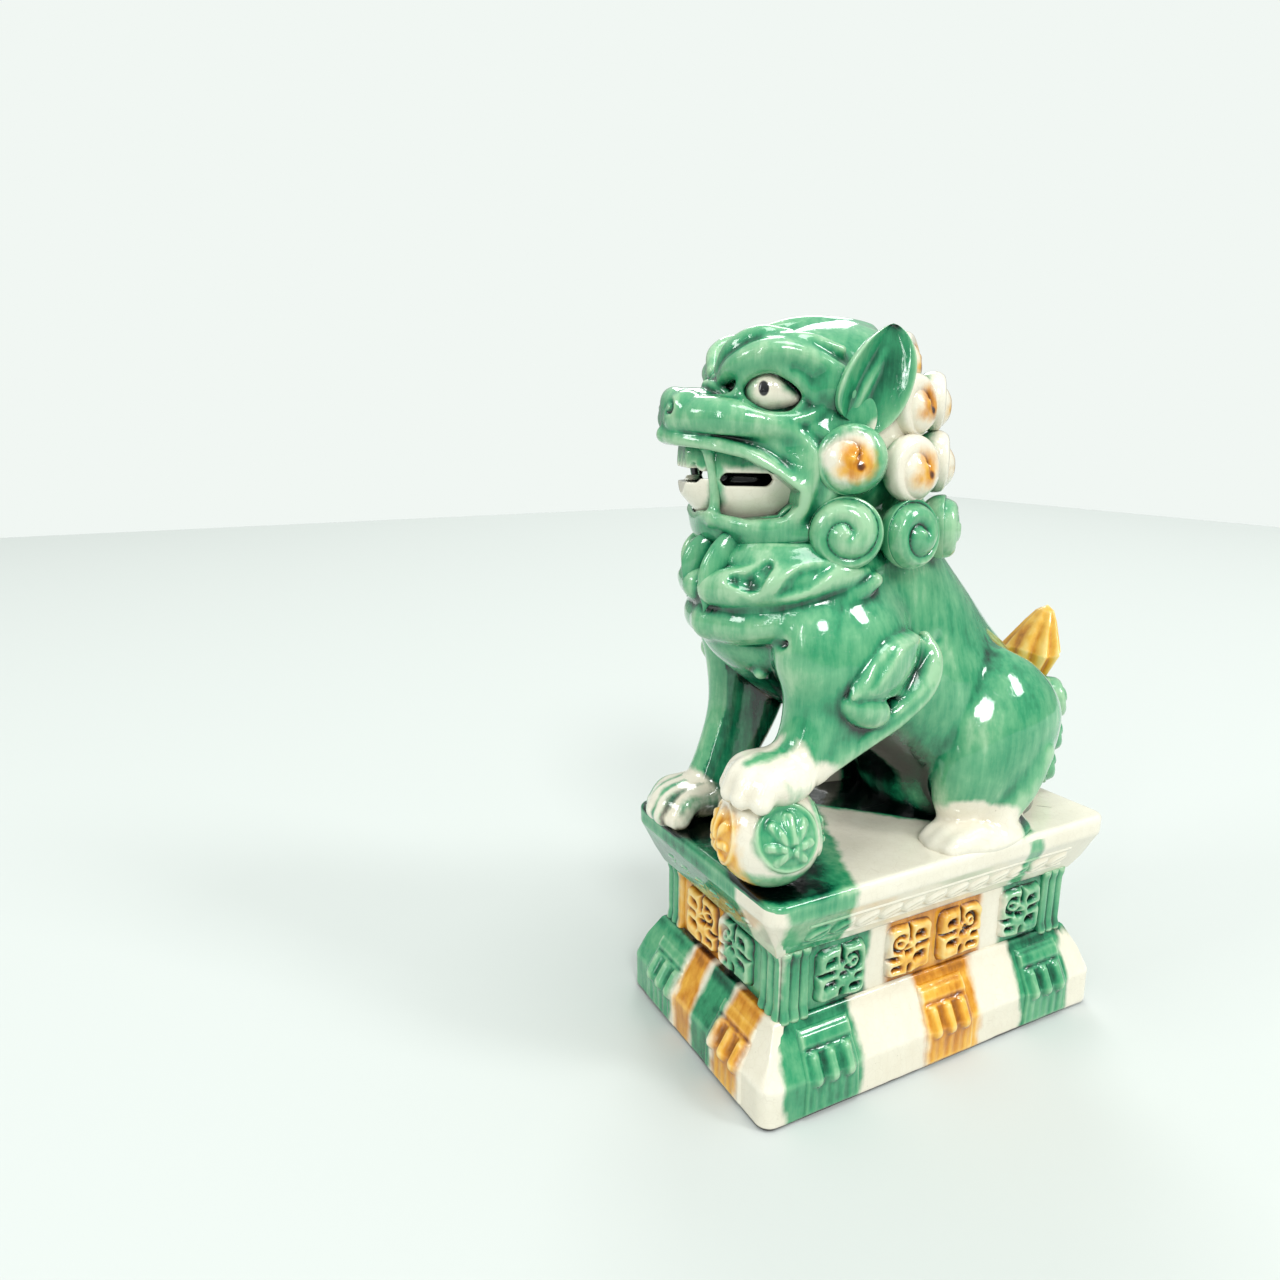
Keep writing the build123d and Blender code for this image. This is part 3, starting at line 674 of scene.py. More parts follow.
for side in SIDES:
    long_side = side in ("left", "right")
    for number, middle in enumerate((-52.0, 2.0, 52.5) if long_side else (-23.0, 23.0)):
        u, v = np.meshgrid(np.arange(-13.2, 13.3, 0.45), np.arange(1.0, 33.0, 0.45))
        flare = 11.2 + 0.5 * (FOOT_BAND - v) / FOOT_BAND
        panel = np.maximum(np.abs(u) - flare, np.maximum(v - 31.5, 2.0 - v))
        height = -0.45 + 1.35 * smooth_step(-panel, -0.9, 0.8)
        drops = stroke_distance(u, v, [(x, 14.5, x, 21.5, 2.6) for x in (-6.9, 0.0, 6.9)])
        pelmet = np.maximum(np.abs(v - 27.5) - 2.2, np.abs(u) - 10.6)
        height += 1.7 * smooth_step(-drops, -0.5, 2.2) * (panel < -0.3)
        cord = smooth_step(-np.abs(v - 23.4), -0.9, 0.0) * (panel < -1.0)
        height += 0.7 * smooth_step(-pelmet, -0.9, 0.8) + 0.35 * cord
        height += 0.13 * np.cos(u * 1.6) * smooth_step(v, 13.0, 10.0) * smooth_step(-panel, 0.2, 1.5)
        relief_skin(f"{side}_tassel_{number + 1}", u + middle, v, height, foot_place(side),
                    [f"{side}_tassels"] if number == 0 else [], tassel_paint)

# %% [markdown]
# The band of leaves runs round the sloping underside of the slab: leaning ovals with a vein, joined by a
# thin stem. It is pressed so shallow that the glaze almost fills it.
# %% Leaf band
def slab_place(side):
    """v climbs the slab's sloping underside from the waist."""
    reach = side_half(side, SLAB_HALF)[0]
    waist_reach = side_half(side, WAIST_HALF)[0] + 1.0
    out, along = (np.array(vector, float) for vector in SIDES[side])
    run, rise = reach - waist_reach - 0.6, SLAB_EDGE - WAIST_HIGH - 1.0
    lean = math.atan2(run, rise)

    def place(u, v, height):
        """Along the face, up the slope, and square to it."""
        distance = waist_reach + v * math.sin(lean) + height * math.cos(lean)
        points = out * distance[..., None] + along * u[..., None]
        points[..., 2] += WAIST_HIGH + v * math.cos(lean) - height * math.sin(lean)
        return points + out * slow_wave(points)[..., None]
    return place


for side in SIDES:
    long_side = side in ("left", "right")
    count = 12 if long_side else 6
    step = 10.4
    span = count * step / 2 + 3
    u, v = np.meshgrid(np.arange(-span, span, 0.5), np.arange(3.0, 15.5, 0.5))
    nearest = (np.floor(u / step) + 0.5) * step
    du, dv = u - nearest, v - 9.2
    du, dv = du * math.cos(0.42) + dv * math.sin(0.42), -du * math.sin(0.42) + dv * math.cos(0.42)
    oval = (np.sqrt((du / 4.7) ** 2 + (dv / 2.5) ** 2) - 1.0) * 2.5
    oval = np.where(np.abs(nearest) < span - 3, oval, 9.0)
    vein = np.abs(dv) - 0.25
    height = -0.4 + 1.5 * smooth_step(-oval, -0.8, 0.7)
    height = height - 0.4 * smooth_step(-vein, -0.5, 0.1) * (oval < -0.4)
    line = np.minimum(np.abs(v - 4.7), np.abs(v - 14.0)) - 0.5
    height = np.maximum(height, -0.4 + 0.8 * smooth_step(-line, -0.9, 0.3) * (np.abs(u) < span - 3))
    relief_skin(f"{side}_leaf_band", u, v, height, slab_place(side),
                ["slab_leaves"] if side == "left" else [],
                lambda points, normals: banded(points, SLAB_BANDS, SLAB_HALF))

# %% [markdown]
# The reeded pilasters wrap the corners of the waist. Their section is a row of round reeds bent round a
# right angle; it is carried straight up and swells a little at its cap and base.
# %% Pilasters
def pilaster(end, side):
    """The section's distance out is a rounded comb; u runs round the corner and v up it."""
    way_x, way_y = (1 if side == "left" else -1), (1 if end == "back" else -1)
    node = f"{end}_{side}_pilaster"
    u, v = np.meshgrid(np.arange(-12.5, 12.6, 0.3), np.linspace(WAIST_LOW - 0.8, WAIST_HIGH + 0.8, 44))
    reed = np.abs(np.sin(math.pi * (np.abs(u) - 0.2) / 4.0))
    out = 0.4 + 1.1 * np.sqrt(np.clip(reed, 0, 1)) * smooth_step(-np.abs(u), -12.4, -11.6)
    out += 0.7 * smooth_step(np.abs(v - (WAIST_LOW + WAIST_HIGH) / 2), 8.5, 12.0)
    out = np.where(np.abs(u) > 12.2, -0.8, out)
    lip = 2.0
    t = np.clip(u / lip, -1, 1) * math.pi / 4
    x = WAIST_HALF[0] - np.where(u < -lip, -(u + lip), 0.0) - lip * 0.5 * (1 - np.sin(math.pi / 4 + t))
    y = WAIST_HALF[1] - np.where(u > lip, u - lip, 0.0) - lip * 0.5 * (1 - np.cos(math.pi / 4 + t))
    facing_x, facing_y = np.sin(math.pi / 4 + t), np.cos(math.pi / 4 + t)
    front = np.stack([way_x * (x + facing_x * out), way_y * (y + facing_y * out), v], -1)
    back = np.stack([way_x * (x - facing_x * 1.5), way_y * (y - facing_y * 1.5), v], -1)
    rows, columns = u.shape
    points = np.concatenate([front, back[:, ::-1]], 1)
    rings = points.reshape(-1, 3)
    faces = grid_faces(rows, columns * 2, close_columns=True)
    lids = []
    for row in (0, rows - 1):
        base = row * columns * 2
        first = base + np.arange(columns - 1)
        last = base + 2 * columns - 1 - np.arange(columns - 1)
        lids.append(np.stack([first, first + 1, last - 1, last], 1))
    make_piece(f"{end}_{side}_reeds", rings, np.concatenate([faces] + lids), [node],
               waist_paint, reach=1.5)


for end in ("front", "back"):
    for side in ("left", "right"):
        pilaster(end, side)

# %% [markdown]
# The lion's trunk, limbs and face run into each other with soft fillets that no single sheet of two
# parameters can follow, round toes, lips and eye sockets. Those are modelled as a potter does: a lump on
# a lattice of small cells, each holding the distance to the clay's surface. Pressing on a pellet takes
# the smooth least of two distances, and cutting with a tool takes the smooth greatest. The skin of the
# lump is then found cell by cell, and eased back onto the true surface.
# %% The lump of clay
class Lump:
    """Distances in millimetres on a regular lattice, below zero inside the clay."""

    def __init__(self, low, high, step):
        self.low, self.step = np.array(low, float), step
        self.shape = tuple(int(n) for n in np.ceil((np.array(high) - low) / step) + 1)
        self.far = np.full(self.shape, 20.0, np.float32)
        self.axes = [(self.low[i] + step * np.arange(self.shape[i])).astype(np.float32) for i in range(3)]

    def twin(self, far=20.0):
        """An empty lump on the same lattice."""
        other = Lump.__new__(Lump)
        other.low, other.step, other.shape, other.axes = self.low, self.step, self.shape, self.axes
        other.far = np.full(self.shape, far, np.float32)
        return other

    def window(self, low, high):
        """The slices of the lattice between two corners, and their coordinates."""
        cuts, places = [], []
        for i in range(3):
            first = int(np.clip((low[i] - self.low[i]) / self.step, 0, self.shape[i] - 1))
            last = int(np.clip((high[i] - self.low[i]) / self.step + 2, 1, self.shape[i]))
            cuts.append(slice(first, last))
            places.append(self.axes[i][first:last].reshape([-1 if j == i else 1 for j in range(3)]))
        return tuple(cuts), places

    def press(self, distance, low, high, melt=3.0):
        """Adds a form: the smooth least of the lump and the form, blended over melt millimetres."""
        margin = melt + 2 * self.step
        cuts, (x, y, z) = self.window(np.array(low) - margin, np.array(high) + margin)
        here, new = self.far[cuts], distance(x, y, z)
        blend = np.maximum(melt - np.abs(here - new), 0.0) / melt
        self.far[cuts] = np.minimum(here, new) - blend * blend * melt * 0.25

    def cut(self, distance, low, high, melt=1.0):
        """Takes a form away: the smooth greatest of the lump and the form turned inside out."""
        margin = melt + 2 * self.step
        cuts, (x, y, z) = self.window(np.array(low) - margin, np.array(high) + margin)
        here, new = self.far[cuts], -distance(x, y, z)
        blend = np.maximum(melt - np.abs(here - new), 0.0) / melt
        self.far[cuts] = np.maximum(here, new) + blend * blend * melt * 0.25

    def egg(self, centre, half, melt=3.0, turn=None, cut=False):
        """An ellipsoid; turn is three angles in degrees about X, Y and Z."""
        centre, half = np.array(centre, float), np.array(half, float)
        spin = np.eye(3)
        for axis, angle in enumerate(turn or ()):
            c, s = math.cos(math.radians(angle)), math.sin(math.radians(angle))
            one = np.eye(3)
            a, b = (axis + 1) % 3, (axis + 2) % 3
            one[a, a], one[a, b], one[b, a], one[b, b] = c, -s, s, c
            spin = one @ spin

        def distance(x, y, z):
            """Nearly the distance: the scaled radius less one, over how fast it grows there."""
            x, y, z = x - centre[0], y - centre[1], z - centre[2]
            p = [spin[0, i] * x + spin[1, i] * y + spin[2, i] * z for i in range(3)]
            near = np.sqrt(sum((p[i] / half[i]) ** 2 for i in range(3))) + 1e-6
            steep = np.sqrt(sum((p[i] / half[i] ** 2) ** 2 for i in range(3))) + 1e-6
            return near * (near - 1.0) / steep
        reach = half.max()
        (self.cut if cut else self.press)(distance, centre - reach, centre + reach, melt)

    def strand(self, points, radii, melt=2.0, cut=False, smooth=6):
        """A rope of changing thickness along a smooth line through the points."""
        distance, low, high = strand_form(points, radii, smooth)
        (self.cut if cut else self.press)(distance, low, high, melt)

    def sink(self, points, radii, depth, soft=1.0, smooth=6):
        """Sinks the skin by depth millimetres inside a strand, or raises it where depth is below zero."""
        distance, low, high = strand_form(points, radii, smooth)
        cuts, (x, y, z) = self.window(low - soft - 2, high + soft + 2)
        self.far[cuts] += depth * smooth_step(-distance(x, y, z), -soft, soft)

    def tower(self, axis, sections, melt=3.0):
        """Ellipses (place along the axis, middle and half size across it twice), joined smoothly."""
        table = np.array(sections, float)
        table = table[np.argsort(table[:, 0])]
        places = np.linspace(table[0, 0], table[-1, 0], 60)
        eased = np.stack([monotone(places, table[:, 0], table[:, i]) for i in range(1, 5)], 1)
        a, b = [i for i in range(3) if i != axis]

        def distance(x, y, z):
            """Nearly the distance to the ellipse at this height, and past the ends to the end ellipse."""
            p = (x, y, z)
            at = np.clip(p[axis], places[0], places[-1])
            m1, m2, h1, h2 = (np.interp(at, places, eased[:, i]) for i in range(4))
            u, v = p[a] - m1, p[b] - m2
            near = np.sqrt((u / h1) ** 2 + (v / h2) ** 2) + 1e-6
            steep = np.sqrt((u / h1 ** 2) ** 2 + (v / h2 ** 2) ** 2) + 1e-6
            side = near * (near - 1.0) / steep
            end = np.abs(p[axis] - (places[0] + places[-1]) / 2) - (places[-1] - places[0]) / 2
            return np.where(end > 0, np.sqrt(np.maximum(side, 0) ** 2 + end ** 2), side)
        low, high = np.zeros(3), np.zeros(3)
        low[axis], high[axis] = places[0], places[-1]
        low[a], high[a] = (table[:, 1] - table[:, 3]).min(), (table[:, 1] + table[:, 3]).max()
        low[b], high[b] = (table[:, 2] - table[:, 4]).min(), (table[:, 2] + table[:, 4]).max()
        self.press(distance, low, high, melt)


def strand_form(points, radii, smooth):
    """The distance to a rope through the points, and the corners of the box that holds it."""
    line, thick = smooth_line(points, radii, smooth)

    def distance(x, y, z):
        """The least distance to any stretch of the line, less the thickness there."""
        best = None
        for a, b, ra, rb in zip(line[:-1], line[1:], thick[:-1], thick[1:]):
            d = b - a
            t = ((x - a[0]) * d[0] + (y - a[1]) * d[1] + (z - a[2]) * d[2]) / max(d @ d, 1e-9)
            t = np.clip(t, 0.0, 1.0)
            gap = np.sqrt((x - a[0] - t * d[0]) ** 2 + (y - a[1] - t * d[1]) ** 2
                          + (z - a[2] - t * d[2]) ** 2)
            gap = gap - (ra + t * (rb - ra))
            best = gap if best is None else np.minimum(best, gap)
        return best
    return distance, line.min(0) - thick.max(), line.max(0) + thick.max()


def smooth_line(points, radii, between):
    """A Catmull-Rom line: between extra points on every stretch, and the thickness eased with it."""
    rows = np.concatenate([np.array(points, float), np.array(radii, float)[:, None]], 1)
    padded = np.concatenate([2 * rows[:1] - rows[1:2], rows, 2 * rows[-1:] - rows[-2:-1]])
    t = np.arange(between)[:, None] / between
    pieces = []
    for a, b, c, d in zip(padded[:-3], padded[1:-2], padded[2:-1], padded[3:]):
        pieces.append(0.5 * (2 * b + (c - a) * t + (2 * a - 5 * b + 4 * c - d) * t ** 2
                             + (3 * b - a - 3 * c + d) * t ** 3))
    line = np.concatenate(pieces + [rows[-1:]])
    return line[:, :3], np.maximum(line[:, 3], 0.05)


def monotone(at, places, values):
    """Values between the places by cubic pieces whose slopes are the mean of their neighbours'."""
    slope = np.gradient(values, places)
    k = np.clip(np.searchsorted(places, at) - 1, 0, len(places) - 2)
    span = places[k + 1] - places[k]
    t = (at - places[k]) / span
    return ((2 * t ** 3 - 3 * t ** 2 + 1) * values[k] + (t ** 3 - 2 * t ** 2 + t) * span * slope[k]
            + (-2 * t ** 3 + 3 * t ** 2) * values[k + 1] + (t ** 3 - t ** 2) * span * slope[k + 1])


def read_lump(lump, points):
    """The lump's distance at any points, from the eight lattice values round each."""
    place = (points - lump.low) / lump.step
    first = np.clip(place.astype(int), 0, np.array(lump.shape) - 2)
    t = place - first
    total = np.zeros(len(points))
    for corner in np.ndindex(2, 2, 2):
        share = np.prod([t[:, i] if corner[i] else 1 - t[:, i] for i in range(3)], axis=0)
        total += share * lump.far[first[:, 0] + corner[0], first[:, 1] + corner[1], first[:, 2] + corner[2]]
    return total


def skin_of(lump, ease=4):
    """One point in every cell that the surface crosses, and a quad round every crossed lattice edge."""
    # The lattice's outermost layer is air, so a lump that reaches it still has a closed skin.
    for axis in range(3):
        for layer in (0, -1):
            outermost = np.moveaxis(lump.far, axis, 0)[layer]
            np.maximum(outermost, 0.5 * lump.step, out=outermost)
    inside = lump.far < 0
    n = np.array(lump.shape)
    block = lambda array, c: array[c[0]:n[0] - 1 + c[0], c[1]:n[1] - 1 + c[1], c[2]:n[2] - 1 + c[2]]
    count = sum(block(inside, c).astype(np.uint8) for c in np.ndindex(2, 2, 2))
    cells = np.argwhere((count > 0) & (count < 8))
    total, hits = np.zeros((len(cells), 3)), np.zeros(len(cells))
    for a in np.ndindex(2, 2, 2):
        for axis in range(3):
            if a[axis] == 0:
                b = np.array(a)
                b[axis] = 1
                fa = lump.far[tuple((cells + a).T)]
                fb = lump.far[tuple((cells + b).T)]
                crossed = (fa < 0) != (fb < 0)
                t = np.where(crossed, fa / np.where(crossed, fa - fb, 1.0), 0.0)
                total += np.where(crossed[:, None], np.array(a) + t[:, None] * (b - np.array(a)), 0.0)
                hits += crossed
    points = lump.low + (cells + total / hits[:, None]) * lump.step
    number = np.full(n - 1, -1)
    number[tuple(cells.T)] = np.arange(len(cells))
    quads = []
    for axis in range(3):
        u, v = np.eye(3, dtype=int)[(axis + 1) % 3], np.eye(3, dtype=int)[(axis + 2) % 3]
        ahead = np.roll(inside, -1, axis)
        crossing = inside != ahead
        trim = [slice(1, -1)] * 3
        trim[axis] = slice(0, -1)
        lows = np.argwhere(crossing[tuple(trim)]) + np.array([0 if i == axis else 1 for i in range(3)])
        ring = [number[tuple((lows - a * u - b * v).T)] for a, b in ((1, 1), (0, 1), (0, 0), (1, 0))]
        ring = np.stack(ring, 1)
        outwards = inside[tuple(lows.T)]
        quads.append(np.where(outwards[:, None], ring, ring[:, ::-1]))
    faces = np.concatenate(quads)
    sides = np.concatenate([faces[:, [k, (k + 1) % 4]] for k in range(4)])
    pairs = np.unique(np.sort(sides, 1), axis=0)
    for _ in range(ease):
        points = points + 0.6 * (average_of_neighbours(points, pairs) - points)
        here = read_lump(lump, points)
        slope = np.stack([read_lump(lump, points + d) - read_lump(lump, points - d)
                          for d in np.eye(3) * lump.step * 0.7], 1) / (1.4 * lump.step)
        size = np.maximum((slope ** 2).sum(1), 0.05)
        points = points - np.clip(here / size, -lump.step, lump.step)[:, None] * slope
    return points, faces


# %% [markdown]
# The trunk is a tower of level ellipses, from the seat on the slab up into the neck, leaning forward so
# that the chest overhangs the forepaws. Shoulders and haunches are shorter towers let into it, and the
# toes are short fat strands.
# %% Trunk and limbs
# Rows of a tower: height, the middle's x and y, and half its size along x and y.
TRUNK = [(81, 0, 42, 33, 33), (100, 0, 36, 36, 39), (120, 0, 23, 36, 50), (140, 0, 3, 35, 59),
         (155, 0, -13, 33, 60), (168, 0, -21, 32, 56), (180, 0, -25, 31, 48), (194, 0, -28, 27, 38)]
LEFT_LEG = [(182, 23, -40, 8, 14), (172, 26, -41, 13.5, 22), (156, 28.5, -42, 16, 24),
            (142, 30, -46, 13, 17), (130, 31, -55, 10, 11), (119, 31.5, -64, 9.5, 10)]
RIGHT_LEG = [(182, -23, -40, 8, 14), (172, -26, -39, 13.5, 22), (156, -29, -37, 16, 23),
             (142, -29, -38, 13, 19), (125, -28, -40.0, 10.5, 16.5), (108, -27, -47.5, 9.8, 14.0),
             (92, -27, -58, 9.5, 10.5)]
HAUNCH = [(84, 31, 26, 5, 16), (92, 31, 27, 9.5, 22), (101, 32, 28, 12, 25.5), (115, 33, 31, 13.5, 27),
          (128, 33, 33.5, 12.5, 24), (138, 31, 34, 10, 17.5), (145, 28.5, 33, 6.5, 11),
          (149, 27, 32, 2, 3.5)]

body = Lump((-50, -96, 79), (50, 92, 193), 0.95)
body.tower(2, TRUNK, 1.0)
body.tower(2, LEFT_LEG, 5.0)
body.tower(2, RIGHT_LEG, 5.0)
for way in (1, -1):
    body.tower(2, [(z, way * x, y, a, b) for z, x, y, a, b in HAUNCH], 4.0)
    # The crease in front of the haunch, and the shank that runs down behind to the foot.
    body.strand([(way * 35, 20, 153), (way * 40.5, 11, 140), (way * 43, 2.5, 122), (way * 41, 0, 104)],
                [0.8, 1.6, 1.9, 1.0], melt=3.5, cut=True)
    body.strand([(way * 43, 42, 112), (way * 42, 35, 100), (way * 39.5, 28, 90)], [4, 5.5, 5.5], melt=4.0)
    # Hind paw: a low pad whose toes hardly show.
    body.egg((way * 37.0, 20, 82.0), (11.0, 25, 5.6), 6.0)
    for toe in (-5.2, 0.0, 5.2):
        body.strand([(way * 37.5 + toe, 14, 85.5), (way * 37.5 + toe * 1.15, 4, 84.5),
                     (way * 37.5 + toe * 1.1, 0, 82.5)],
                    [3.2, 3.2, 2.8], melt=3.2)
    # Ribs under the skin of the flank.
    for rib in range(3):
        lift = rib * 9.0
        body.strand([(way * 33, 16 - lift, 161 - 0.2 * lift), (way * 38, 4 - lift, 148),
                     (way * 36, -6 - lift, 132)],
                    [0.4, 0.8, 0.4], melt=3.5, cut=True)

# The wrist and four toes of the left forepaw, which lies over the ball.
body.egg((31.5, -69.5, 119.0), (13.2, 13.8, 8.8), 4.0)
for toe, reach in ((-8.4, -79.5), (-2.8, -83.0), (2.9, -83.2), (8.5, -80.0)):
    body.strand([(31.5 + toe * 0.8, -70, 122.0), (31.5 + toe, reach + 4.0, 121.0),
                 (31.5 + toe * 1.1, reach, 115.5)],
                [3.8, 4.2, 3.6], melt=2.6)
body.egg((-27, -62, 88.6), (11.5, 13, 7.5), 4.0)
for toe, reach in ((-8.2, -75.0), (-2.7, -78.5), (2.8, -78.5), (8.2, -75.5)):
    body.strand([(-27 + toe * 0.8, -62, 91.5), (-27 + toe, reach + 4.5, 90.5),
                 (-27 + toe * 1.1, reach, 85.5)],
                [4.4, 4.9, 4.4], melt=3.0)
print("trunk and limbs pressed on", body.shape)

# %% [markdown]
# Behind each elbow a flame-like lock curls up in a scroll, with a smaller egg-shaped lock under it. From
# there a thin web of clay runs down to the wrist. Round the neck lies a folded scarf with leaf-shaped
# ends over a smooth roll, tied under the beard.
# %% Elbow scrolls and scarf
for way, wrist in ((1, (34.0, -57.0, 118.0)), (-1, (-30.0, -42.0, 117.0))):
    side = lambda x, y, z: (way * x, y, z)
    # The broad lock, its hooked crease, and the border that lifts it off the shoulder.
    body.sink([side(46, -51, 146.5), side(45, -43, 149.5), side(43.5, -32, 153), side(41.5, -22.5, 153)],
              [0.6, 4.8, 9.6, 10.8], -4.2, soft=1.6)
    body.sink([side(43.5, -22, 157.5), side(43.5, -17, 152), side(45.5, -20, 147.5), side(48, -32, 146.5),
               side(49, -44, 146)],
              [0.6, 1.6, 1.9, 1.6, 0.5], 2.2, soft=1.0)
    body.sink([side(48, -45, 150), side(48, -41, 156), side(46, -34, 161.5)], [0.4, 1.7, 0.6], 1.8,
              soft=1.0)
    # The ribbon that runs from behind the lock down to the wrist, and the web of clay in front of it.
    end = np.array(wrist)
    body.strand([side(36.5, -13, 161), side(39, -12, 153.5), side(40.8, -16.5, 145.5), side(41, -27, 138),
                 side(38.8, -38, 130.5), tuple(end + [way * 3.5, 6, 5]), tuple(end)],
                [1.4, 3.6, 4.6, 4.8, 4.2, 3.2, 2.2], melt=5.0)
    body.sink([side(45, -13.5, 150), side(46.5, -19, 144), side(46, -29, 137.5), side(43.5, -38, 131)],
              [0.4, 1.0, 1.1, 0.4], 1.1, soft=0.7)
    body.strand([side(37, -38, 139), side(36, -46, 131), tuple(end + [way * 1.0, 2, 2])], [3.5, 4.0, 2.5],
                melt=5.0)
    body.egg(side(42.3, -42.5, 141.3), (5.4, 10.4, 6.2), 0.9, turn=(-24, 0, 0))
    body.sink([side(47, -36, 141), side(46, -33, 145), side(45, -38, 146.5)], [0.4, 0.9, 0.4], 1.2,
              soft=0.8)

    # The scarf: a roll, two leaf ends above it with hollowed faces, and the crease below.
    body.egg(side(6, -44, 184), (29, 30, 15), 4.0)
    body.strand([(0, -73, 172.5), side(14, -69, 172.5), side(25, -58.5, 175), side(32.5, -46, 179.5)],
                [5.0, 5.6, 5.6, 3.6], melt=2.5)
    body.strand([(0, -74.5, 165.0), side(14, -69.5, 165.5), side(25, -59.5, 168.5), side(32, -47, 174.5),
                 side(35, -35, 181)],
                [6.2, 6.4, 6.2, 5.0, 2.5], melt=1.6)
    body.strand([side(5, -76, 177), side(15, -70.5, 178.5), side(25.5, -60, 181), side(32, -48, 183),
                 side(34.5, -38, 184)],
                [6.0, 7.4, 7.8, 5.2, 1.2], melt=1.2)
    body.sink([side(28.5, -68, 177.5), side(33.2, -61.6, 182.6), side(35.5, -52.7, 186.8)], [0.6, 3.6, 0.8],
              2.2, soft=0.8)
    body.sink([side(23.5, -69, 186), side(22.0, -73, 181.5)], [2.2, 3.6], 2.4, soft=0.8)
    body.sink([side(16.5, -76.5, 181.5), side(21, -74, 181.0)], [1.8, 3.0], 2.4, soft=0.8)
    body.strand([(0, -82, 158.5), side(15, -76, 158.5), side(28, -65.5, 161.5), side(37, -51, 168)],
                [0.8, 1.0, 1.0, 0.5], melt=3.0, cut=True)
body.egg((12.3, -61.8, 148.4), (2.6, 2.6, 2.6), 1.2)
print("scarf and scrolls on")

# %% [markdown]
# The body's splashes: green nearly all over, with cream left on the paws, and an olive-amber streak
# where the amber brush was drawn down the spine and over the rump.
# %% Body skin
CREAM_FOREPAWS = [(27, -76, 120, 13), (36, -80, 118, 13), (36, -68, 122, 11), (40, -58, 118, 8),
                  (-27, -72, 88, 15), (-22, -66, 86, 12)]
CREAM_HIND_PAW = [(36, 0, 84, 13), (41, 10, 86, 13), (43, 23, 84, 11.5)]


def lobes(points, centres):
    """How far each point lies inside any of the balls (x, y, z, radius)."""
    return np.max([r - np.linalg.norm(points - np.array((x, y, z)), axis=1) for x, y, z, r in centres],
                  axis=0)


def body_paint(points, normals):
    """Cream paws, a green drip down each hind paw, an amber streak, and painted shade under the belly and
    between the forelegs.
    """
    x, y, z = points.T
    cream = lobes(points, CREAM_FOREPAWS + CREAM_HIND_PAW + [(44, 46, 85, 9)]
                  + [(-a, b, c, r) for a, b, c, r in CREAM_HIND_PAW])
    cream = np.minimum(cream, np.maximum(np.abs(y - 38.0) - 3.4, 25.0 - x))
    green_toes = -np.abs(x - 33.0) + 3.0 - 0.3 * np.maximum(-74 - y, 0.0)
    notch = np.minimum(green_toes, np.minimum(z - 122.0, y + 80.0))
    grooves = np.where((z < 97) & (y < -60), 0.9 - np.abs((x + 27.0 + 2.7) % 5.5 - 2.75 - 1.0), -9.0)
    green = np.maximum(-cream, np.maximum(notch, grooves))
    spine = 5.5 - np.abs(x - 3.0) - 0.5 * np.maximum(150 - z, 0.0) * 0.1
    streak = np.minimum(spine, y - 12.0) - 2.0
    rump = np.minimum(lobes(points, [(36, 58, 118, 9), (38, 52, 105, 8), (30, 62, 132, 8)]), 3.0)
    amber = np.clip(np.maximum(streak, rump), NONE, 1.0) - 1.6
    # Painted shade: surfaces that face down under the belly, and the chest between the forelegs, get more
    # glaze depth so they go dark.
    under = smooth_step(-normals[:, 2], 0.25, 0.8) * smooth_step(z, 150.0, 105.0) * (np.abs(x) < 36)
    between = smooth_step(-y, -10, 30) * (np.abs(x) < 22) * smooth_step(z, 158, 140)
    deep = 0.80 * under + 0.36 * between
    deep += 0.45 * smooth_step(z, 92.0, 84.0) * (green > 0)
    return {"green": green, "amber": amber, "deep": deep}


points, faces = skin_of(body)
make_piece("body", points, faces, ["torso", "left_foreleg", "right_foreleg", "left_haunch", "right_haunch",
           "left_forepaw", "right_forepaw", "left_hind_paw", "right_hind_paw", "collar", "collar_bell",
           "left_elbow_scroll", "right_elbow_scroll"], body_paint, weld=False, reach=2.6)
del body

# %% [markdown]
# The head looks a little to the lion's right. It is modelled in its own axes, forward through the nose,
# left, and up from the ground, then turned into place. First the skull, muzzle and jaw as a tower of
# upright ellipses; then the rolls that make the face: brows, lids, nose, lips, cheeks and chin.
# %% Head
HEAD_TURN = math.radians(18.0)
HEAD_AT = np.array((0.0, -38.0, 0.0))
FORWARD = np.array((-math.sin(HEAD_TURN), -math.cos(HEAD_TURN), 0.0))
LEFTWARD = np.array((math.cos(HEAD_TURN), -math.sin(HEAD_TURN), 0.0))
UPWARD = np.array((0.0, 0.0, 1.0))
AXES = np.stack([FORWARD, LEFTWARD, UPWARD])
EYE_AT, EYE_HALF = (18.8, 17.6, 239.2), (7.4, 6.0, 6.4)
# Rows of the skull: forward, the middle's left and up, and half its size along left and up.
SKULL = [(-32, 0, 225, 20, 27), (-20, 0, 226, 26, 34.5), (-5, 0, 226.5, 29, 35.5), (10, 0, 224.5, 27.5, 34),
         (20, 0, 220.5, 25, 31), (30, 0, 216.0, 21.5, 26), (40, 0, 216.0, 17, 20), (46.5, 0, 216, 11, 13)]


def from_head(points):
    """Head axes to the lion's own axes."""
    return HEAD_AT + points @ AXES


def to_head(points):
    """The lion's own axes to head axes."""
    return (points - HEAD_AT) @ AXES.T


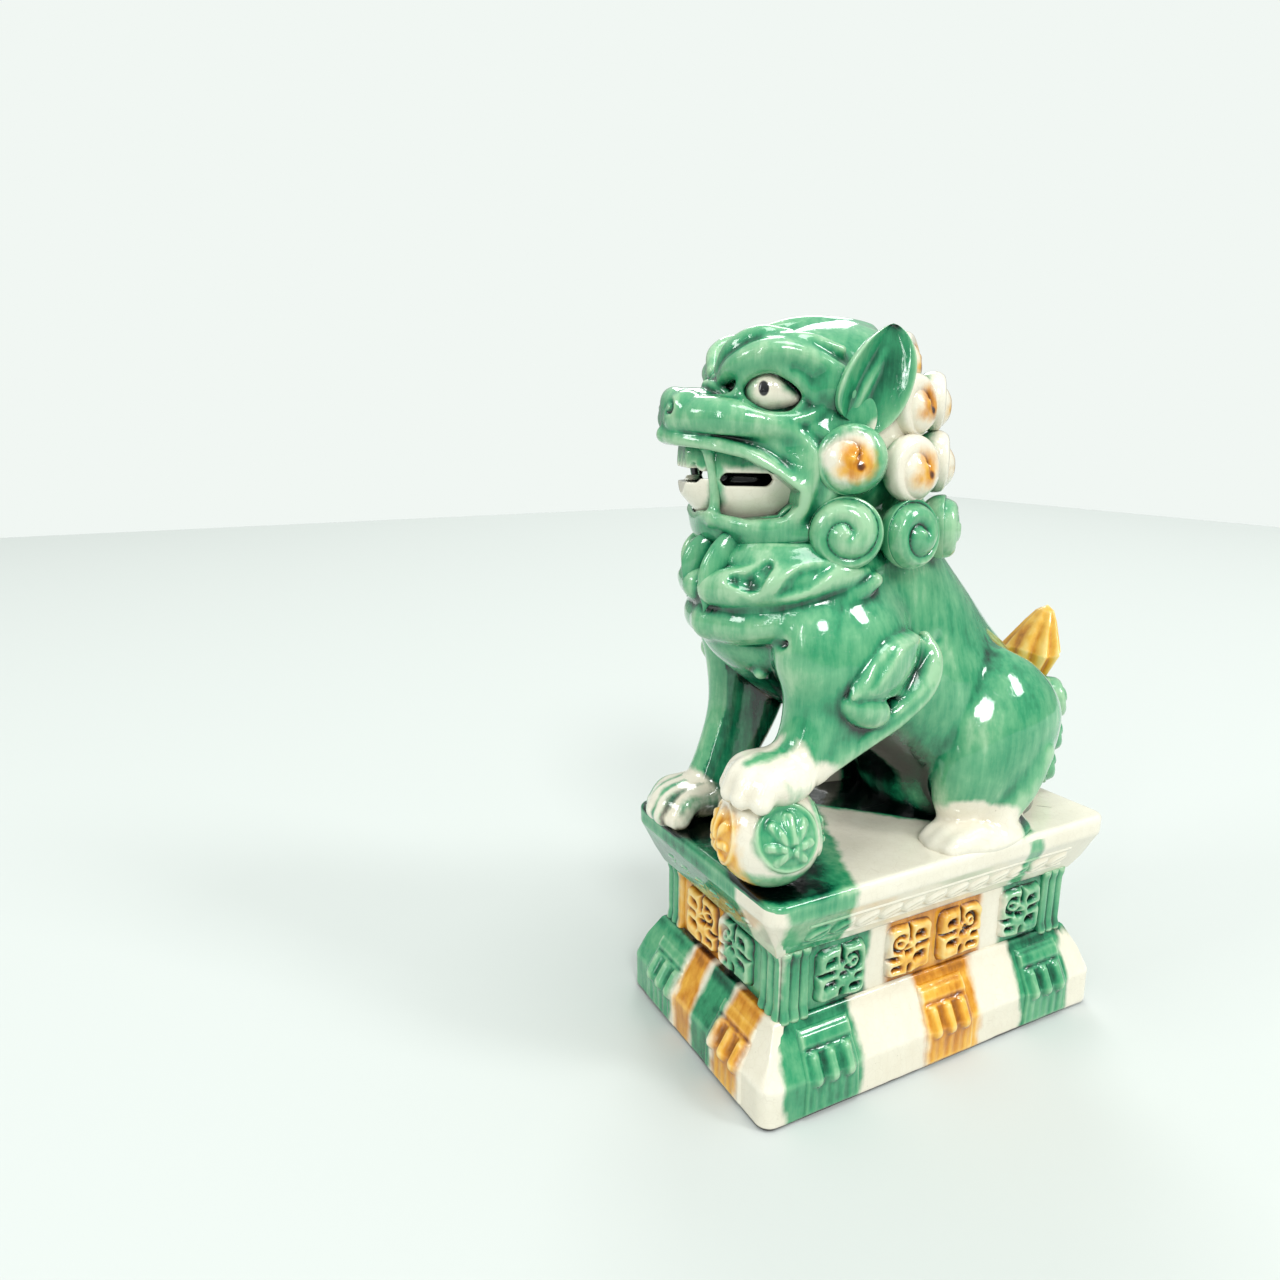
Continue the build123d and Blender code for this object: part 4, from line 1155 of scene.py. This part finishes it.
head = Lump((-36, -36, 184), (54, 36, 265), 0.68)
head.tower(0, SKULL, 2.0)
head.egg((40, 0, 232), (10, 13, 9), 5.0)
for way in (1, -1):
    at = lambda f, l, z: (f, way * l, z)
    # Muzzle bulge that runs from beside the nose back under the eye, and the crease below it.
    head.strand([at(44, 6.5, 231.5), at(38, 13.5, 231.5), at(29, 19.5, 230.5), at(19, 23.2, 229),
                 at(9, 26, 226)],
                [5.8, 6.6, 6.2, 4.6, 2.6], melt=2.2)
    head.strand([at(47, 6, 226.6), at(41, 13.8, 225.4), at(32, 20.3, 224.4), at(22, 24.7, 222),
                 at(13, 28.2, 216.5)],
                [0.9, 1.2, 1.2, 1.1, 0.6], melt=2.4, cut=True)
    # The temple, then the eye socket, then the lids as thin rolls.
    head.egg(at(6, 22.5, 244.0), (10, 5, 6), 4.0)
    head.egg(at(18.5, 23.2, 238.8), (8.6, 4.0, 6.6), 2.0, cut=True)
    head.strand([at(28.5, 16.6, 239.4), at(26, 19.4, 244.6), at(19.5, 22.6, 246.8), at(11.5, 25.2, 242.2),
                 at(5.0, 26.6, 234.6)],
                [1.2, 2.0, 2.3, 2.0, 1.2], melt=1.6)
    head.strand([at(28.5, 16.8, 239.2), at(25.5, 20.2, 233.4), at(18.5, 23.6, 231.0), at(11, 25.9, 230.8),
                 at(4.5, 26.8, 233.4)],
                [1.2, 1.8, 2.0, 1.8, 1.2], melt=1.6)
    # Brow: one heavy roll over the eye, a second lock above it, and the temple behind.
    head.strand([at(31, 9, 243.5), at(29, 16, 247.0), at(22, 21.5, 250.4), at(12, 25, 250.0),
                 at(0, 27.4, 245.0)],
                [2.6, 3.6, 4.2, 3.6, 2.2], melt=3.2)
    head.strand([at(31.5, 5, 246.5), at(29, 11.5, 252.5), at(22, 15.5, 256.2), at(13, 18.0, 256.4)],
                [2.2, 3.0, 3.0, 1.6], melt=3.6)
    head.strand([at(19, 19.5, 253.8), at(9, 22.5, 254.2), at(-2, 23.6, 251.5)], [1.6, 2.4, 1.4], melt=3.6)
    head.egg(at(0, 26.0, 240.0), (7.0, 4.6, 5.4), 3.0)
    # Wrinkles across the bridge of the nose, and a furl beside the nostril.
    for row in range(3):
        back, lift = 3.0 * row, 2.0 * row
        head.strand([at(34.5 - back, 0, 241.8 + lift), at(33.5 - back, 5.5, 241.2 + lift),
                     at(30.5 - back, 10.5, 238.8 + 1.3 * lift)], [1.6, 1.7, 1.2], melt=1.0)
    head.strand([at(37, 9.5, 236.5), at(32.5, 14, 236.5), at(29.5, 17, 238.2)], [1.8, 2.2, 1.2], melt=1.4)
    # Nose: the wing and its curled nostril.
    head.egg(at(43.5, 8.2, 235.0), (5.6, 4.8, 4.8), 1.6)
    head.strand([at(49.0, 4.6, 234.6), at(49.5, 6.6, 236.6), at(48.4, 9.4, 236.0), at(48.2, 9.4, 233.4),
                 at(49.4, 7.0, 233.0)],
                [0.7, 0.9, 0.9, 0.8, 0.6], melt=0.8, cut=True)
    # Upper lip roll, round the corner of the mouth, and the lower lip.
    head.strand([at(48.5, 0, 226.0), at(45.5, 8.5, 224.6), at(37.5, 16.5, 223.0), at(28, 21.4, 220.6),
                 at(18.5, 25.3, 215.2), at(11.5, 27.6, 208.0)],
                [2.6, 2.6, 2.7, 2.8, 2.9, 2.7], melt=1.6)
    head.strand([at(11.5, 27.6, 209.0), at(10.0, 27.6, 203.2), at(15.5, 24.8, 198.6), at(25, 20.4, 197.6),
                 at(33.5, 14.4, 199.4), at(38.8, 7.5, 201.5), at(40.6, 0, 202.0)],
                [2.7, 2.6, 2.4, 2.5, 2.7, 2.7, 2.7], melt=1.8)
    # Cheek, with the fold that runs from the eye down to the jaw.
    head.egg(at(2, 24, 214), (11, 8, 15), 6.0)
    head.strand([at(10, 28.6, 228), at(3.5, 31.5, 221), at(4.5, 32.0, 210), at(8, 29.8, 199)],
                [0.5, 1.2, 1.3, 0.6], melt=3.2, cut=True)
    head.strand([at(6, 27.0, 195.0), at(18, 21.5, 193.0), at(30, 12.0, 194.0)], [3.0, 4.2, 3.2], melt=5.0)
head.egg((45.8, 0, 236.6), (4.2, 7.6, 4.6), 2.0)
head.egg((31, 0, 196), (9.0, 13.0, 6.0), 4.0)
head.egg((14, 0, 196), (20, 19.0, 8.0), 5.0)
head.strand([(-20, 0, 259.5), (0, 0, 261.0), (14, 0, 258.5), (24, 0, 253.0)], [1.5, 2.6, 2.6, 1.2],
            melt=5.0)
print("face pressed on", head.shape)

# %% [markdown]
# The open mouth is cut with a lens-shaped tool as far as the teeth. The teeth are one wall behind the
# lips; between the two rows it is open, and the inside of the hollow head shows, painted black as shade.
# %% Mouth
def mouth_space(f, l, z):
    """Below zero between the lips: wide in front, closing to a point at the corners."""
    high = np.interp(f, (11, 18, 28, 38, 50), (208.5, 213.8, 219.0, 221.4, 223.0))
    low = np.interp(f, (11, 15, 25, 36, 50), (205.0, 200.8, 199.6, 201.6, 204.0))
    return np.maximum(np.maximum(z - high, low - z), 11.5 - f) + 0.0 * l


def shrunk_tower(sections, inset, back=0.0):
    """The same tower of ellipses, its skin moved inwards and its front moved back."""
    return [(f - back * (f > 25), m1, m2, a - inset, b - inset) for f, m1, m2, a, b in sections]


hollow = head.twin()
hollow.tower(0, shrunk_tower(SKULL[1:], 6.0), 1.0)
head.cut(mouth_space, (9, -36, 196), (56, 36, 226), 0.8)
head.cut(lambda f, l, z: np.maximum(39.0 - f - 0.0 * l, z - 204.0), (36, -36, 184), (56, 36, 206), 3.0)
head.far = np.maximum(head.far, -hollow.far)
# Two posts stand between the front teeth and the side teeth.
for way in (1, -1):
    head.strand([(37.5, way * 13.8, 222.5), (35.5, way * 13.4, 214.0), (34.5, way * 13.2, 206.0),
                 (35.0, way * 13.6, 199.5)],
                [2.0, 1.6, 1.7, 2.2], melt=1.6)


def head_paint(points, normals):
    """All green, but painted black inside the hollow as shade, and cream left behind the ears."""
    places = to_head(points)
    # Painted shade: inside the hollow the head is painted black and given full glaze depth.
    inside_shade = smooth_step(-read_lump(hollow, places), -0.8, 0.3)
    deep = 0.9 * inside_shade + 0.12 * smooth_step(places[:, 2], 205.0, 190.0) - 0.03
    strip = lobes(places, [(-17, way * 27, 224, 8.5) for way in (1, -1)]
                  + [(-19, way * 26, 232, 6) for way in (1, -1)])
    return {"green": -strip, "ink": np.where(inside_shade > 0.6, 2.0, NONE), "deep": deep}


points, faces = skin_of(head)
head_nodes = ["head", "lower_jaw", "nose", "left_brow", "right_brow"]
make_piece("head", from_head(points), faces, head_nodes, head_paint, weld=False, reach=2.0)

# %% [markdown]
# The teeth are a wall as thick as a fingernail, a shell between two shrunken copies of the skull, cut
# off at the bite. Each row is a lump of its own, and a shallow tool mark divides the teeth.
# %% Teeth
def tooth_row(name, low, high):
    """A shell from 3.4 to 5.8 mm under the skull's skin, between two heights, cut into teeth."""
    row = Lump((6, -27, 195), (50, 27, 227), 0.5)
    row.tower(0, shrunk_tower(SKULL[2:], 3.3, 3.6), 0.5)
    inner = row.twin()
    inner.tower(0, shrunk_tower(SKULL[2:], 6.2, 5.5), 0.5)
    row.far = np.maximum(row.far, -inner.far)
    f, l, z = [axis.reshape([-1 if j == i else 1 for j in range(3)]) for i, axis in enumerate(row.axes)]
    front = f > 34.5
    side_slot = stroke_distance(f, z, [(19.5, 212.0, 31.0, 212.0, 2.1)]) + 0.0 * l
    front_slot = stroke_distance(l, z, [(-8.5, 213.0, 8.5, 213.0, 2.3)]) + 0.0 * f
    row.far = np.maximum(row.far, -np.where(front, front_slot, side_slot))
    if name == "upper":
        fangs = 217.8 - 3.4 * np.abs(np.sin(l * math.pi / 4.6))
        row.far = np.maximum(row.far, np.where(front, fangs, 211.9) - z)
    else:
        row.far = np.maximum(row.far, z - 212.1)
    row.far = np.maximum(row.far, np.maximum(low - z, z - high))
    row.far = np.maximum(row.far, 9.0 - f)
    points, faces = skin_of(row, ease=3)

    def paint(where, normals):
        places = to_head(where)
        f, z = places[:, 0], places[:, 2]
        # Painted shade: the inner face of the tooth wall, towards the hollow, is painted black.
        inside = smooth_step(-read_lump(inner, places), -0.5, 0.2)
        green = 1.6 - np.abs(f - 34.0)
        if name == "upper":
            green = np.maximum(green, np.where(f < 34, z - 216.0, z - 215.5))
        return {"green": green, "ink": np.where(inside > 0.7, 2.0, NONE), "deep": np.full(len(f), -0.05)}
    make_piece(f"{name}_teeth_row", from_head(points), faces, [f"{name}_teeth"], paint,
               weld=False, reach=1.5)


tooth_row("upper", 205.0, 226.0)
tooth_row("lower", 197.0, 215.0)

# %% [markdown]
# Behind the teeth lies a tongue of clay, an ellipsoid cut by its own latitude and longitude, painted
# black all over as painted shade that darkens the inside of the mouth.
# %% Tongue, painted black as shade
def ellipsoid_grid(half, rows=64, columns=96):
    """Latitude and longitude run over an ellipsoid with its poles on its third axis."""
    polar = np.linspace(0, math.pi, rows)[:, None]
    around = np.linspace(0, 2 * math.pi, columns, endpoint=False)[None, :]
    flat = np.cos(polar) + 0.0 * around
    unit = np.stack([np.sin(polar) * np.cos(around), np.sin(polar) * np.sin(around), flat], -1)
    return unit * np.array(half), unit


# Painted shade: the tongue is painted black all over, to darken the inside of the mouth.
shade_tongue = ellipsoid_grid((14.0, 10.0, 9.5), 48, 72)[0] + np.array((19.5, 0.0, 211.0))
make_piece("shade_tongue", from_head(shade_tongue.reshape(-1, 3)), grid_faces(48, 72, close_columns=True), [],
           all_green(ink=5.0))

# %% [markdown]
# Eyes: an almond-shaped bulge of cream glaze under the lids, with an upright black pupil. The almond is
# an ellipsoid in two angles, longitude and latitude.
# %% Eyes
for name, way in (("left", 1), ("right", -1)):
    ball, unit = ellipsoid_grid(EYE_HALF)
    # Behind its middle the eye is drawn out to a low corner.
    tail = np.clip(-unit[..., 0], 0, 1)
    ball[..., 2] = ball[..., 2] * (1 - 0.35 * tail) - 2.6 * tail ** 1.5
    ball[..., 0] -= 2.6 * tail ** 2
    ball[..., 1] += way * 2.2 * tail
    middle = np.array((EYE_AT[0], way * EYE_AT[1], EYE_AT[2]))

    def eye_paint(points, normals, way=way):
        """Cream inside an almond, green round it, and an upright pupil of black glaze."""
        f, l, z = to_head(points).T
        outside = l * way > EYE_AT[1]
        pupil = 1.0 - np.hypot((f - 22.0) / 1.5, (z - 240.0) / 2.3)
        almond = stroke_distance(f, z, [(20.6, 239.6, 20.6, 239.6, 5.0), (20.6, 239.6, 10.5, 234.8, 2.2)])
        return {"ink": np.where(outside, pupil * 1.8, NONE), "green": almond - 0.6}
    make_piece(f"{name}_eyeball", from_head((ball + middle).reshape(-1, 3)),
               grid_faces(64, 96, close_columns=True), [f"{name}_eye"], eye_paint, reach=1.5)

# %% [markdown]
# Ears: pricked leaves, hollow towards the side. The section at each height is a flattened ring whose
# outer half is pushed in, which leaves a rounded rim; its width grows from the root and closes to the
# tip, and the leaf leans back and outwards.
# %% Ears
for name, way in (("left", 1), ("right", -1)):
    t, turn = np.meshgrid(np.linspace(0, 1, 72), np.linspace(0, 2 * math.pi, 96, endpoint=False),
                          indexing="ij")
    width = 12.0 * (1 - np.abs(2 * t ** 0.84 - 1) ** 2.3) ** 0.72
    thick = 4.4 * (1 - np.abs(2 * t - 1) ** 3.0) ** 0.55
    across, out = np.cos(turn), np.sin(turn)
    round_rim = np.sign(out) * np.abs(out) ** np.where(out > 0, 0.36, 0.8)
    facing = np.clip(out, 0, 1)
    deep_in = np.sin(math.pi * np.clip(0.06 + 0.94 * t, 0, 1)) ** 0.45
    cup = 7.6 * (1 - np.abs(across) ** 2.2) * np.sqrt(facing) * deep_in
    ridge = np.exp(-((across - 0.30 + 0.4 * t) / 0.16) ** 2)
    fold = 1.3 * ridge * facing * np.sin(math.pi * np.clip(1.25 * t, 0, 1))
    forward = -6.5 - 10.0 * t + width * across * (1 - 0.06 * t)
    left = 27.5 + 4.0 * np.sin(math.pi * t * 0.8) + thick * round_rim - cup + fold - 1.0 * t
    left = left + 0.12 * (forward + 10)
    up = 227.0 + 32.0 * t + 3.0 * across * (1 - t)
    points = np.stack([forward, way * left, up], -1).reshape(-1, 3)
    make_piece(f"{name}_ear_leaf", from_head(points), grid_faces(72, 96, close_columns=True),
               [f"{name}_ear"], all_green(deep=-0.04), reach=2.4)

# %% [markdown]
# The mane is a bank of snail curls. A curl is a dome over two parameters: the distance from its middle
# and the angle round it. A spiral runs out from the middle, and the dome's skin follows the round back
# of the coil. The lower curls are cut with two and a half turns; the upper ones have a single soft turn
# and were touched with amber in the middle.
# %% Mane curls
# Each bun: forward, left and up in the head's axes, its radius, and how many turns its spiral makes.
CURLS = {
    "cheek_curl": [(-4, 31.5, 218.6, 11.0, 0.9)],
    "jaw_curl": [(-3, 32.5, 196, 11.6, 1.7)],
    "neck_curl": [(-26, 29, 195, 11.2, 1.8)],
    "nape_curl": [(-43.5, 15, 195.5, 10.8, 1.8)],
    "middle_curls": [(-26, 26.5, 215.5, 10.8, 1.1), (-42, 10.5, 217, 10.4, 1.1)],
    "crown_curls": [(-28, 20.5, 235.0, 10.2, 1.1), (-40, 9.5, 236.5, 9.8, 1.1),
                    (-29, 9.5, 249.5, 9.2, 1.0)],
}
SKULL_MIDDLE = np.array((-13.0, 0.0, 0.0))


def curl_piece(name, forward, left, up, radius, turns, hand, nodes, paint_of, place=from_head,
               out=None, deep=0.62):
    """Dome, spiral and rim: height is the dome plus the coil's round back, sunk along the spiral line."""
    rows, columns = 70, 108
    reach, angle = np.meshgrid(np.linspace(0, 1, rows),
                               np.linspace(0, 2 * math.pi, columns, endpoint=False), indexing="ij")
    face = np.clip(reach / 0.62, 0, 1)
    spiral = turns * face - hand * angle / (2 * math.pi)
    coil = np.abs(np.sin(math.pi * spiral))
    groove = coil ** 0.75 + 0.05 * np.cos(6 * math.pi * spiral) * face
    outer = smooth_step(face, 1.0, 0.9)
    button = smooth_step(face, 0.10, 0.0)
    relief = (groove * (1 - button) + button) * outer + (1 - outer)
    tilt = math.pi * 0.5 * np.minimum(reach / 0.62, 1.0)
    below = np.clip((reach - 0.62) / 0.38, 0, 1)
    wide = radius * np.where(reach < 0.62, np.sin(tilt) ** 0.92, np.cos(below * math.pi / 2))
    high = radius * deep * np.where(reach < 0.62, np.cos(tilt) ** 0.75, -np.sin(below * math.pi / 2) * 1.2)
    cut = (0.19 if turns > 1.5 else 0.16) * radius
    high = high - cut * (1 - relief) * smooth_step(face, 1.02, 0.85)
    middle = np.array((forward, left, up), float)
    if out is None:
        out = middle - (SKULL_MIDDLE + np.array((0, 0, up - 3.0)))
    out = np.array(out, float) / np.linalg.norm(out)
    side = np.cross((0, 0, 1.0), out)
    side /= np.linalg.norm(side)
    top = np.cross(out, side)
    around = np.cos(angle)[..., None] * side + np.sin(angle)[..., None] * top
    points = middle + wide[..., None] * around + high[..., None] * out
    frame_of = (middle, side, top, out, radius)
    make_piece(name, place(points.reshape(-1, 3)), grid_faces(rows, columns, close_columns=True), nodes,
                      lambda where, normals: paint_of(where, frame_of, hand), reach=1.8)


def green_curl(where, frame_of, hand):
    """Green all over, a little thin on the ridges."""
    return all_green(deep=-0.06)(where, None)


def touched_curl(back):
    """Cream curls: amber in the middle and down one side, brown where the brush was full."""
    def paint(where, frame_of, hand):
        middle, side, top, out, radius = frame_of
        local = (back(where) - middle) / radius
        a, b, c = local @ side, local @ top, local @ out
        spot = 0.42 - np.hypot(a - 0.12 * hand, (b + 0.05) * 0.8)
        tail = 0.17 - np.hypot((a + 0.22 * hand) * 0.8, (b + 0.32))
        amber = np.where(c > 0, np.maximum(spot, tail) * radius, NONE)
        deep = 0.50 * smooth_step(0.17 - np.hypot(a - 0.22 * hand, b + 0.22), 0.0, 0.12)
        rim = -c * radius - 1.5
        return {"amber": amber, "green": rim, "deep": deep * (c > 0) + 0.10 * (amber > 0)}
    return paint


def cheek_curl_paint(where, frame_of, hand):
    """The cheek curl has a green rim, a cream face and an amber middle."""
    middle, side, top, out, radius = frame_of
    local = (to_head(where) - middle) / radius
    a, b, c = local @ side, local @ top, local @ out
    painted = touched_curl(to_head)(where, frame_of, hand)
    round_face = np.hypot(a + 0.12 * hand, b - 0.02)
    painted["green"] = np.where(c > 0, (round_face - 0.70) * radius, 9.0)
    return painted


for side_name, way in (("left", 1), ("right", -1)):
    for curl, buns in CURLS.items():
        for number, (forward, left, up, radius, turns) in enumerate(buns):
            cream = curl in ("middle_curls", "crown_curls")
            paint_of = touched_curl(to_head) if cream else green_curl
            if curl == "cheek_curl":
                paint_of = cheek_curl_paint
            curl_piece(f"{side_name}_{curl}_{number + 1}", forward, way * left, up, radius, turns, way,
                       [f"{side_name}_{curl}"] if number == 0 else [],
                       paint_of)

# %% [markdown]
# The beard hangs from the chin over the scarf as four blunt locks with a groove down each. A lock is a
# ring carried along a bent line: its width swells and closes at both ends, and a notch in the ring makes
# the groove.
# %% Beard
def carried_along(line, radii, ring, squash=1.0, facing=(0, -1, 0)):
    """A ring function (angle, way along) in 0..1 carried along a smooth line in its moving frame."""
    path, thick = smooth_line(line, radii, 10)
    tangent = np.gradient(path, axis=0)
    tangent /= np.linalg.norm(tangent, axis=1)[:, None]
    side = np.cross(tangent, np.array(facing, float))
    side /= np.linalg.norm(side, axis=1)[:, None]
    front = np.cross(side, tangent)
    angle = np.linspace(0, 2 * math.pi, 56, endpoint=False)
    t = np.linspace(0, 1, len(path))[:, None]
    size = thick[:, None] * ring(angle[None], t)
    return (path[:, None] + (size * np.cos(angle))[..., None] * side[:, None]
            + (squash * size * np.sin(angle))[..., None] * front[:, None])


def grooved(angle, t):
    """A round ring with a notch at the front that fades out at both ends."""
    off = np.angle(np.exp(1j * (angle - math.pi / 2)))
    return 1.0 - 0.26 * np.exp(-(off / 0.42) ** 2) * np.sin(math.pi * t) ** 0.5


for number, (left, front, drop) in enumerate(((-16.0, 32.0, -2.0), (-6.0, 38.5, 2.0), (7.0, 41.0, 1.0),
                                              (17.0, 37.5, -2.5))):
    line = [(front - 11.0, left * 0.85, 198.0), (front - 7.5, left * 0.95, 191.0),
            (front - 2.0, left, 183.0 + drop), (front + 1.0, left * 1.02, 171.5 + drop)]
    points = carried_along(line, [0.05, 4.8, 5.2, 0.05], grooved, 0.50)
    rows, columns = points.shape[:2]
    make_piece(f"beard_lock_{number + 1}", from_head(points.reshape(-1, 3)),
               grid_faces(rows, columns, close_columns=True), ["beard"] if number == 0 else [],
               all_green(), reach=1.5)

# %% [markdown]
# The brocade ball under the left forepaw: a sphere whose skin is pushed out into round medallions, each
# a ring round a palmette of seven leaves. Every medallion is a height drawn on the plane that touches
# the sphere there. The glaze changes round it: cream above, amber in front, green on the medallion.
# %% Ball
BALL = np.array(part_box("brocade_ball")) / MM
BALL_R = (BALL[1, 0] - BALL[0, 0]) / 2
BALL_AT = np.array(((BALL[0, 0] + BALL[1, 0]) / 2, (BALL[0, 1] + BALL[1, 1]) / 2, BALL[1, 2] - BALL_R))
MEDALLIONS = [(0.93, -0.14, 0.30), (-0.30, -0.92, 0.10), (-0.93, 0.25, 0.2), (0.25, 0.93, 0.1),
              (-0.1, -0.15, 0.98)]


def medallion(direction, centre):
    """A ring of 11 mm radius and a palmette of seven leaves inside it."""
    centre = np.array(centre) / np.linalg.norm(centre)
    side = np.cross((0, 0, 1.0), centre) if abs(centre[2]) < 0.9 else np.array((1.0, 0, 0))
    side /= np.linalg.norm(side)
    top = np.cross(centre, side)
    a, b, c = (direction @ vector for vector in (side, top, centre))
    across = np.arccos(np.clip(c, -1, 1)) * BALL_R
    ring = smooth_step(-np.abs(across - 11.2), -1.5, 0.1) * 0.75
    leaves = [(0, -0.5, 0, 6.2, 1.7)]
    for way in (1, -1):
        leaves += [(way * 1.8, -0.8, way * 5.6, 4.2, 1.4), (way * 2.4, -3.2, way * 7.2, -2.4, 1.2),
                   (way * 1.3, -4.6, way * 4.6, -7.2, 1.2)]
    scroll = stroke_distance(a * BALL_R, b * BALL_R, leaves)
    petals = smooth_step(-scroll, -0.9, 0.8) * 0.85
    bud = 0.35 * np.sin(1.7 * a * BALL_R) * smooth_step(-scroll, -0.2, 0.6)
    fields = (petals + bud) * (across < 10.4) + ring
    return np.where(across < 13.5, fields, 0.0), across


BALL_ROWS, BALL_COLUMNS = 190, 300
unit = ellipsoid_grid((BALL_R, BALL_R, BALL_R), BALL_ROWS, BALL_COLUMNS)[1]
relief = np.max([medallion(unit, centre)[0] for centre in MEDALLIONS], axis=0)
ball_points = BALL_AT + unit * (BALL_R - 0.5 + relief)[..., None]
ball_points[..., 2] = np.maximum(ball_points[..., 2], SLAB_TOP - 0.4)


def ball_paint(points, normals):
    """Green on the medallion that faces out and underneath, amber down the front, cream between."""
    d = (points - BALL_AT) / BALL_R
    facing = d / np.linalg.norm(d, axis=1)[:, None]
    front = medallion(facing, MEDALLIONS[0])[1]
    others = np.min([medallion(facing, centre)[1] for centre in MEDALLIONS[2:4]], axis=0)
    green = np.maximum(12.6 - front, 12.0 - others)
    green = np.maximum(green, (-d[:, 2] - 0.62) * 16 + (d[:, 0] > 0) * 3)
    amber = np.minimum(7.0 - np.abs((d[:, 0] + 0.14) * 14), (0.50 - d[:, 2]) * 14)
    amber = np.minimum(amber, (-0.25 - d[:, 1]) * 14)
    return {"green": green, "amber": amber, "deep": 0.4 * smooth_step(-d[:, 2], 0.72, 0.95) - 0.06}


make_piece("ball", ball_points.reshape(-1, 3), grid_faces(BALL_ROWS, BALL_COLUMNS, close_columns=True),
           ["brocade_ball"], ball_paint, reach=1.6)

# %% [markdown]
# The tail stands up against the rump as a ribbed flame, with two columns of small curls under it. The
# flame's section is a flat oval fluted by a cosine; it narrows and leans back to its tip.
# %% Tail
FLAME = np.array(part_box("tail_flame")) / MM
low, high = FLAME
t, turn = np.meshgrid(np.linspace(0, 1, 90), np.linspace(0, 2 * math.pi, 132, endpoint=False),
                      indexing="ij")
swell = np.interp(t, (0, 0.1, 0.45, 0.8, 0.93, 1.0), (0.0, 0.75, 1.0, 0.52, 0.30, 0.0))
flute = 1.0 + 0.075 * np.cos(9 * turn) * np.sin(math.pi * t) ** 0.4
flame = np.stack([
    (low[0] + high[0]) / 2 + 1.5 * t + (high[0] - low[0]) * 0.50 * swell * flute * np.cos(turn),
    74 + 10.5 * t ** 1.3 + 7.0 * swell * flute * np.sin(turn),
    low[2] + (high[2] - low[2]) * (t + 0.05 * np.sin(3 * turn) * (1 - t) * t * 2)], -1)


def flame_paint(points, normals):
    """Amber down to a slanted line near the root, green below it."""
    return {"amber": points[:, 2] - 131.0 - 0.15 * (points[:, 1] - 76), "green": np.full(len(points), 8.0)}


make_piece("flame_of_tail", flame.reshape(-1, 3), grid_faces(90, 132, close_columns=True), ["tail_flame"],
           flame_paint, reach=1.6)


def tail_curl_paint(where, frame_of, hand):
    """Green all over."""
    return all_green()(where, None)


for side_name, way in (("left", 1), ("right", -1)):
    for number, (across, along, up, radius) in enumerate(((17.0, 75.5, 121, 9.2), (17.0, 75.5, 107, 9.0),
                                                          (15.5, 75.5, 93.5, 9.0))):
        curl_piece(f"{side_name}_tail_curl_{number + 1}", way * across, along, up, radius, 1.9, -way,
                   [f"{side_name}_tail_curls"] if number == 0 else [], tail_curl_paint,
                   place=lambda points: points, out=(way * 0.75, 0.85, 0.15), deep=0.8)

# %% [markdown]
# The lion stands as in a shop window: on a white sweep in a pale room, with wide soft boxes well
# away from it. A glossy glaze shows its lights as crisp white shapes, so the boxes are rectangles. The
# room seen past the lion is bright, but what the glaze mirrors of it is dimmer, and darker low down.
# %% Floor and lights
floor = bpy.data.objects.new("floor", bpy.data.meshes.new("floor"))
floor.data.from_pydata([(-2, -2, 0), (2, -2, 0), (2, 2, 0), (-2, 2, 0)], [], [(0, 1, 2, 3)])
bpy.context.scene.collection.objects.link(floor)
paper = bpy.data.materials.new("white_sweep")
g = Graph(paper)
sheet = g.add("ShaderNodeBsdfPrincipled", Base_Color=(0.528, 0.559, 0.541, 1.0), Roughness=0.9)
g.add("ShaderNodeOutputMaterial", Surface=sheet.outputs[0])
floor.data.materials.append(paper)

world = bpy.data.worlds.new("pale_room")
bpy.context.scene.world = world
room = Graph(world)
PALE = (0.880, 0.930, 0.896, 1.0)
seen = room.add("ShaderNodeLightPath").outputs["Is Camera Ray"]
upness = room.add("ShaderNodeSeparateXYZ",
                  Vector=room.add("ShaderNodeTexCoord").outputs["Generated"]).outputs["Z"]
glow = room.fade(upness, -0.1, 0.9, 0.34, 0.90)
strength = room.fade(seen, 0.0, 1.0, 0.0, 1.0)
strength = room.add("ShaderNodeMix", Factor=strength, A=glow, B=1.0).outputs["Result"]
backdrop = room.add("ShaderNodeBackground", Color=PALE, Strength=strength)
room.add("ShaderNodeOutputWorld", Surface=backdrop.outputs[0])
bpy.context.scene.view_settings.view_transform = "Standard"

# Name, place and (width, height) in metres, and watts.
BOXES = [
    ("key_box", (3.5, -1.2, 3.0), (1.1, 1.1), 86.0),
    ("sky_box", (0.9, 0.3, 4.0), (1.6, 1.6), 52.0),
    ("window_box", (2.4, 2.0, 2.6), (0.7, 1.2), 52.0),
    ("front_box", (-0.4, -3.8, 2.2), (1.2, 1.0), 40.0),
    ("tube_lamp", (1.6, -3.2, 1.6), (0.10, 2.2), 12.0),
    ("back_box", (-2.8, 1.8, 2.8), (1.6, 1.6), 50.0),
]
AIM = Vector((0.0, -0.02, 0.15))
for name, place, size, watts in BOXES:
    light = bpy.data.objects.new(name, bpy.data.lights.new(name, "AREA"))
    light.data.shape = "RECTANGLE"
    light.data.size, light.data.size_y = size
    light.data.energy = watts
    light.location = place
    light.rotation_mode = "QUATERNION"
    light.rotation_quaternion = (AIM - Vector(place)).to_track_quat("-Z", "Y")
    bpy.context.scene.collection.objects.link(light)
print("lights set:", [b[0] for b in BOXES])
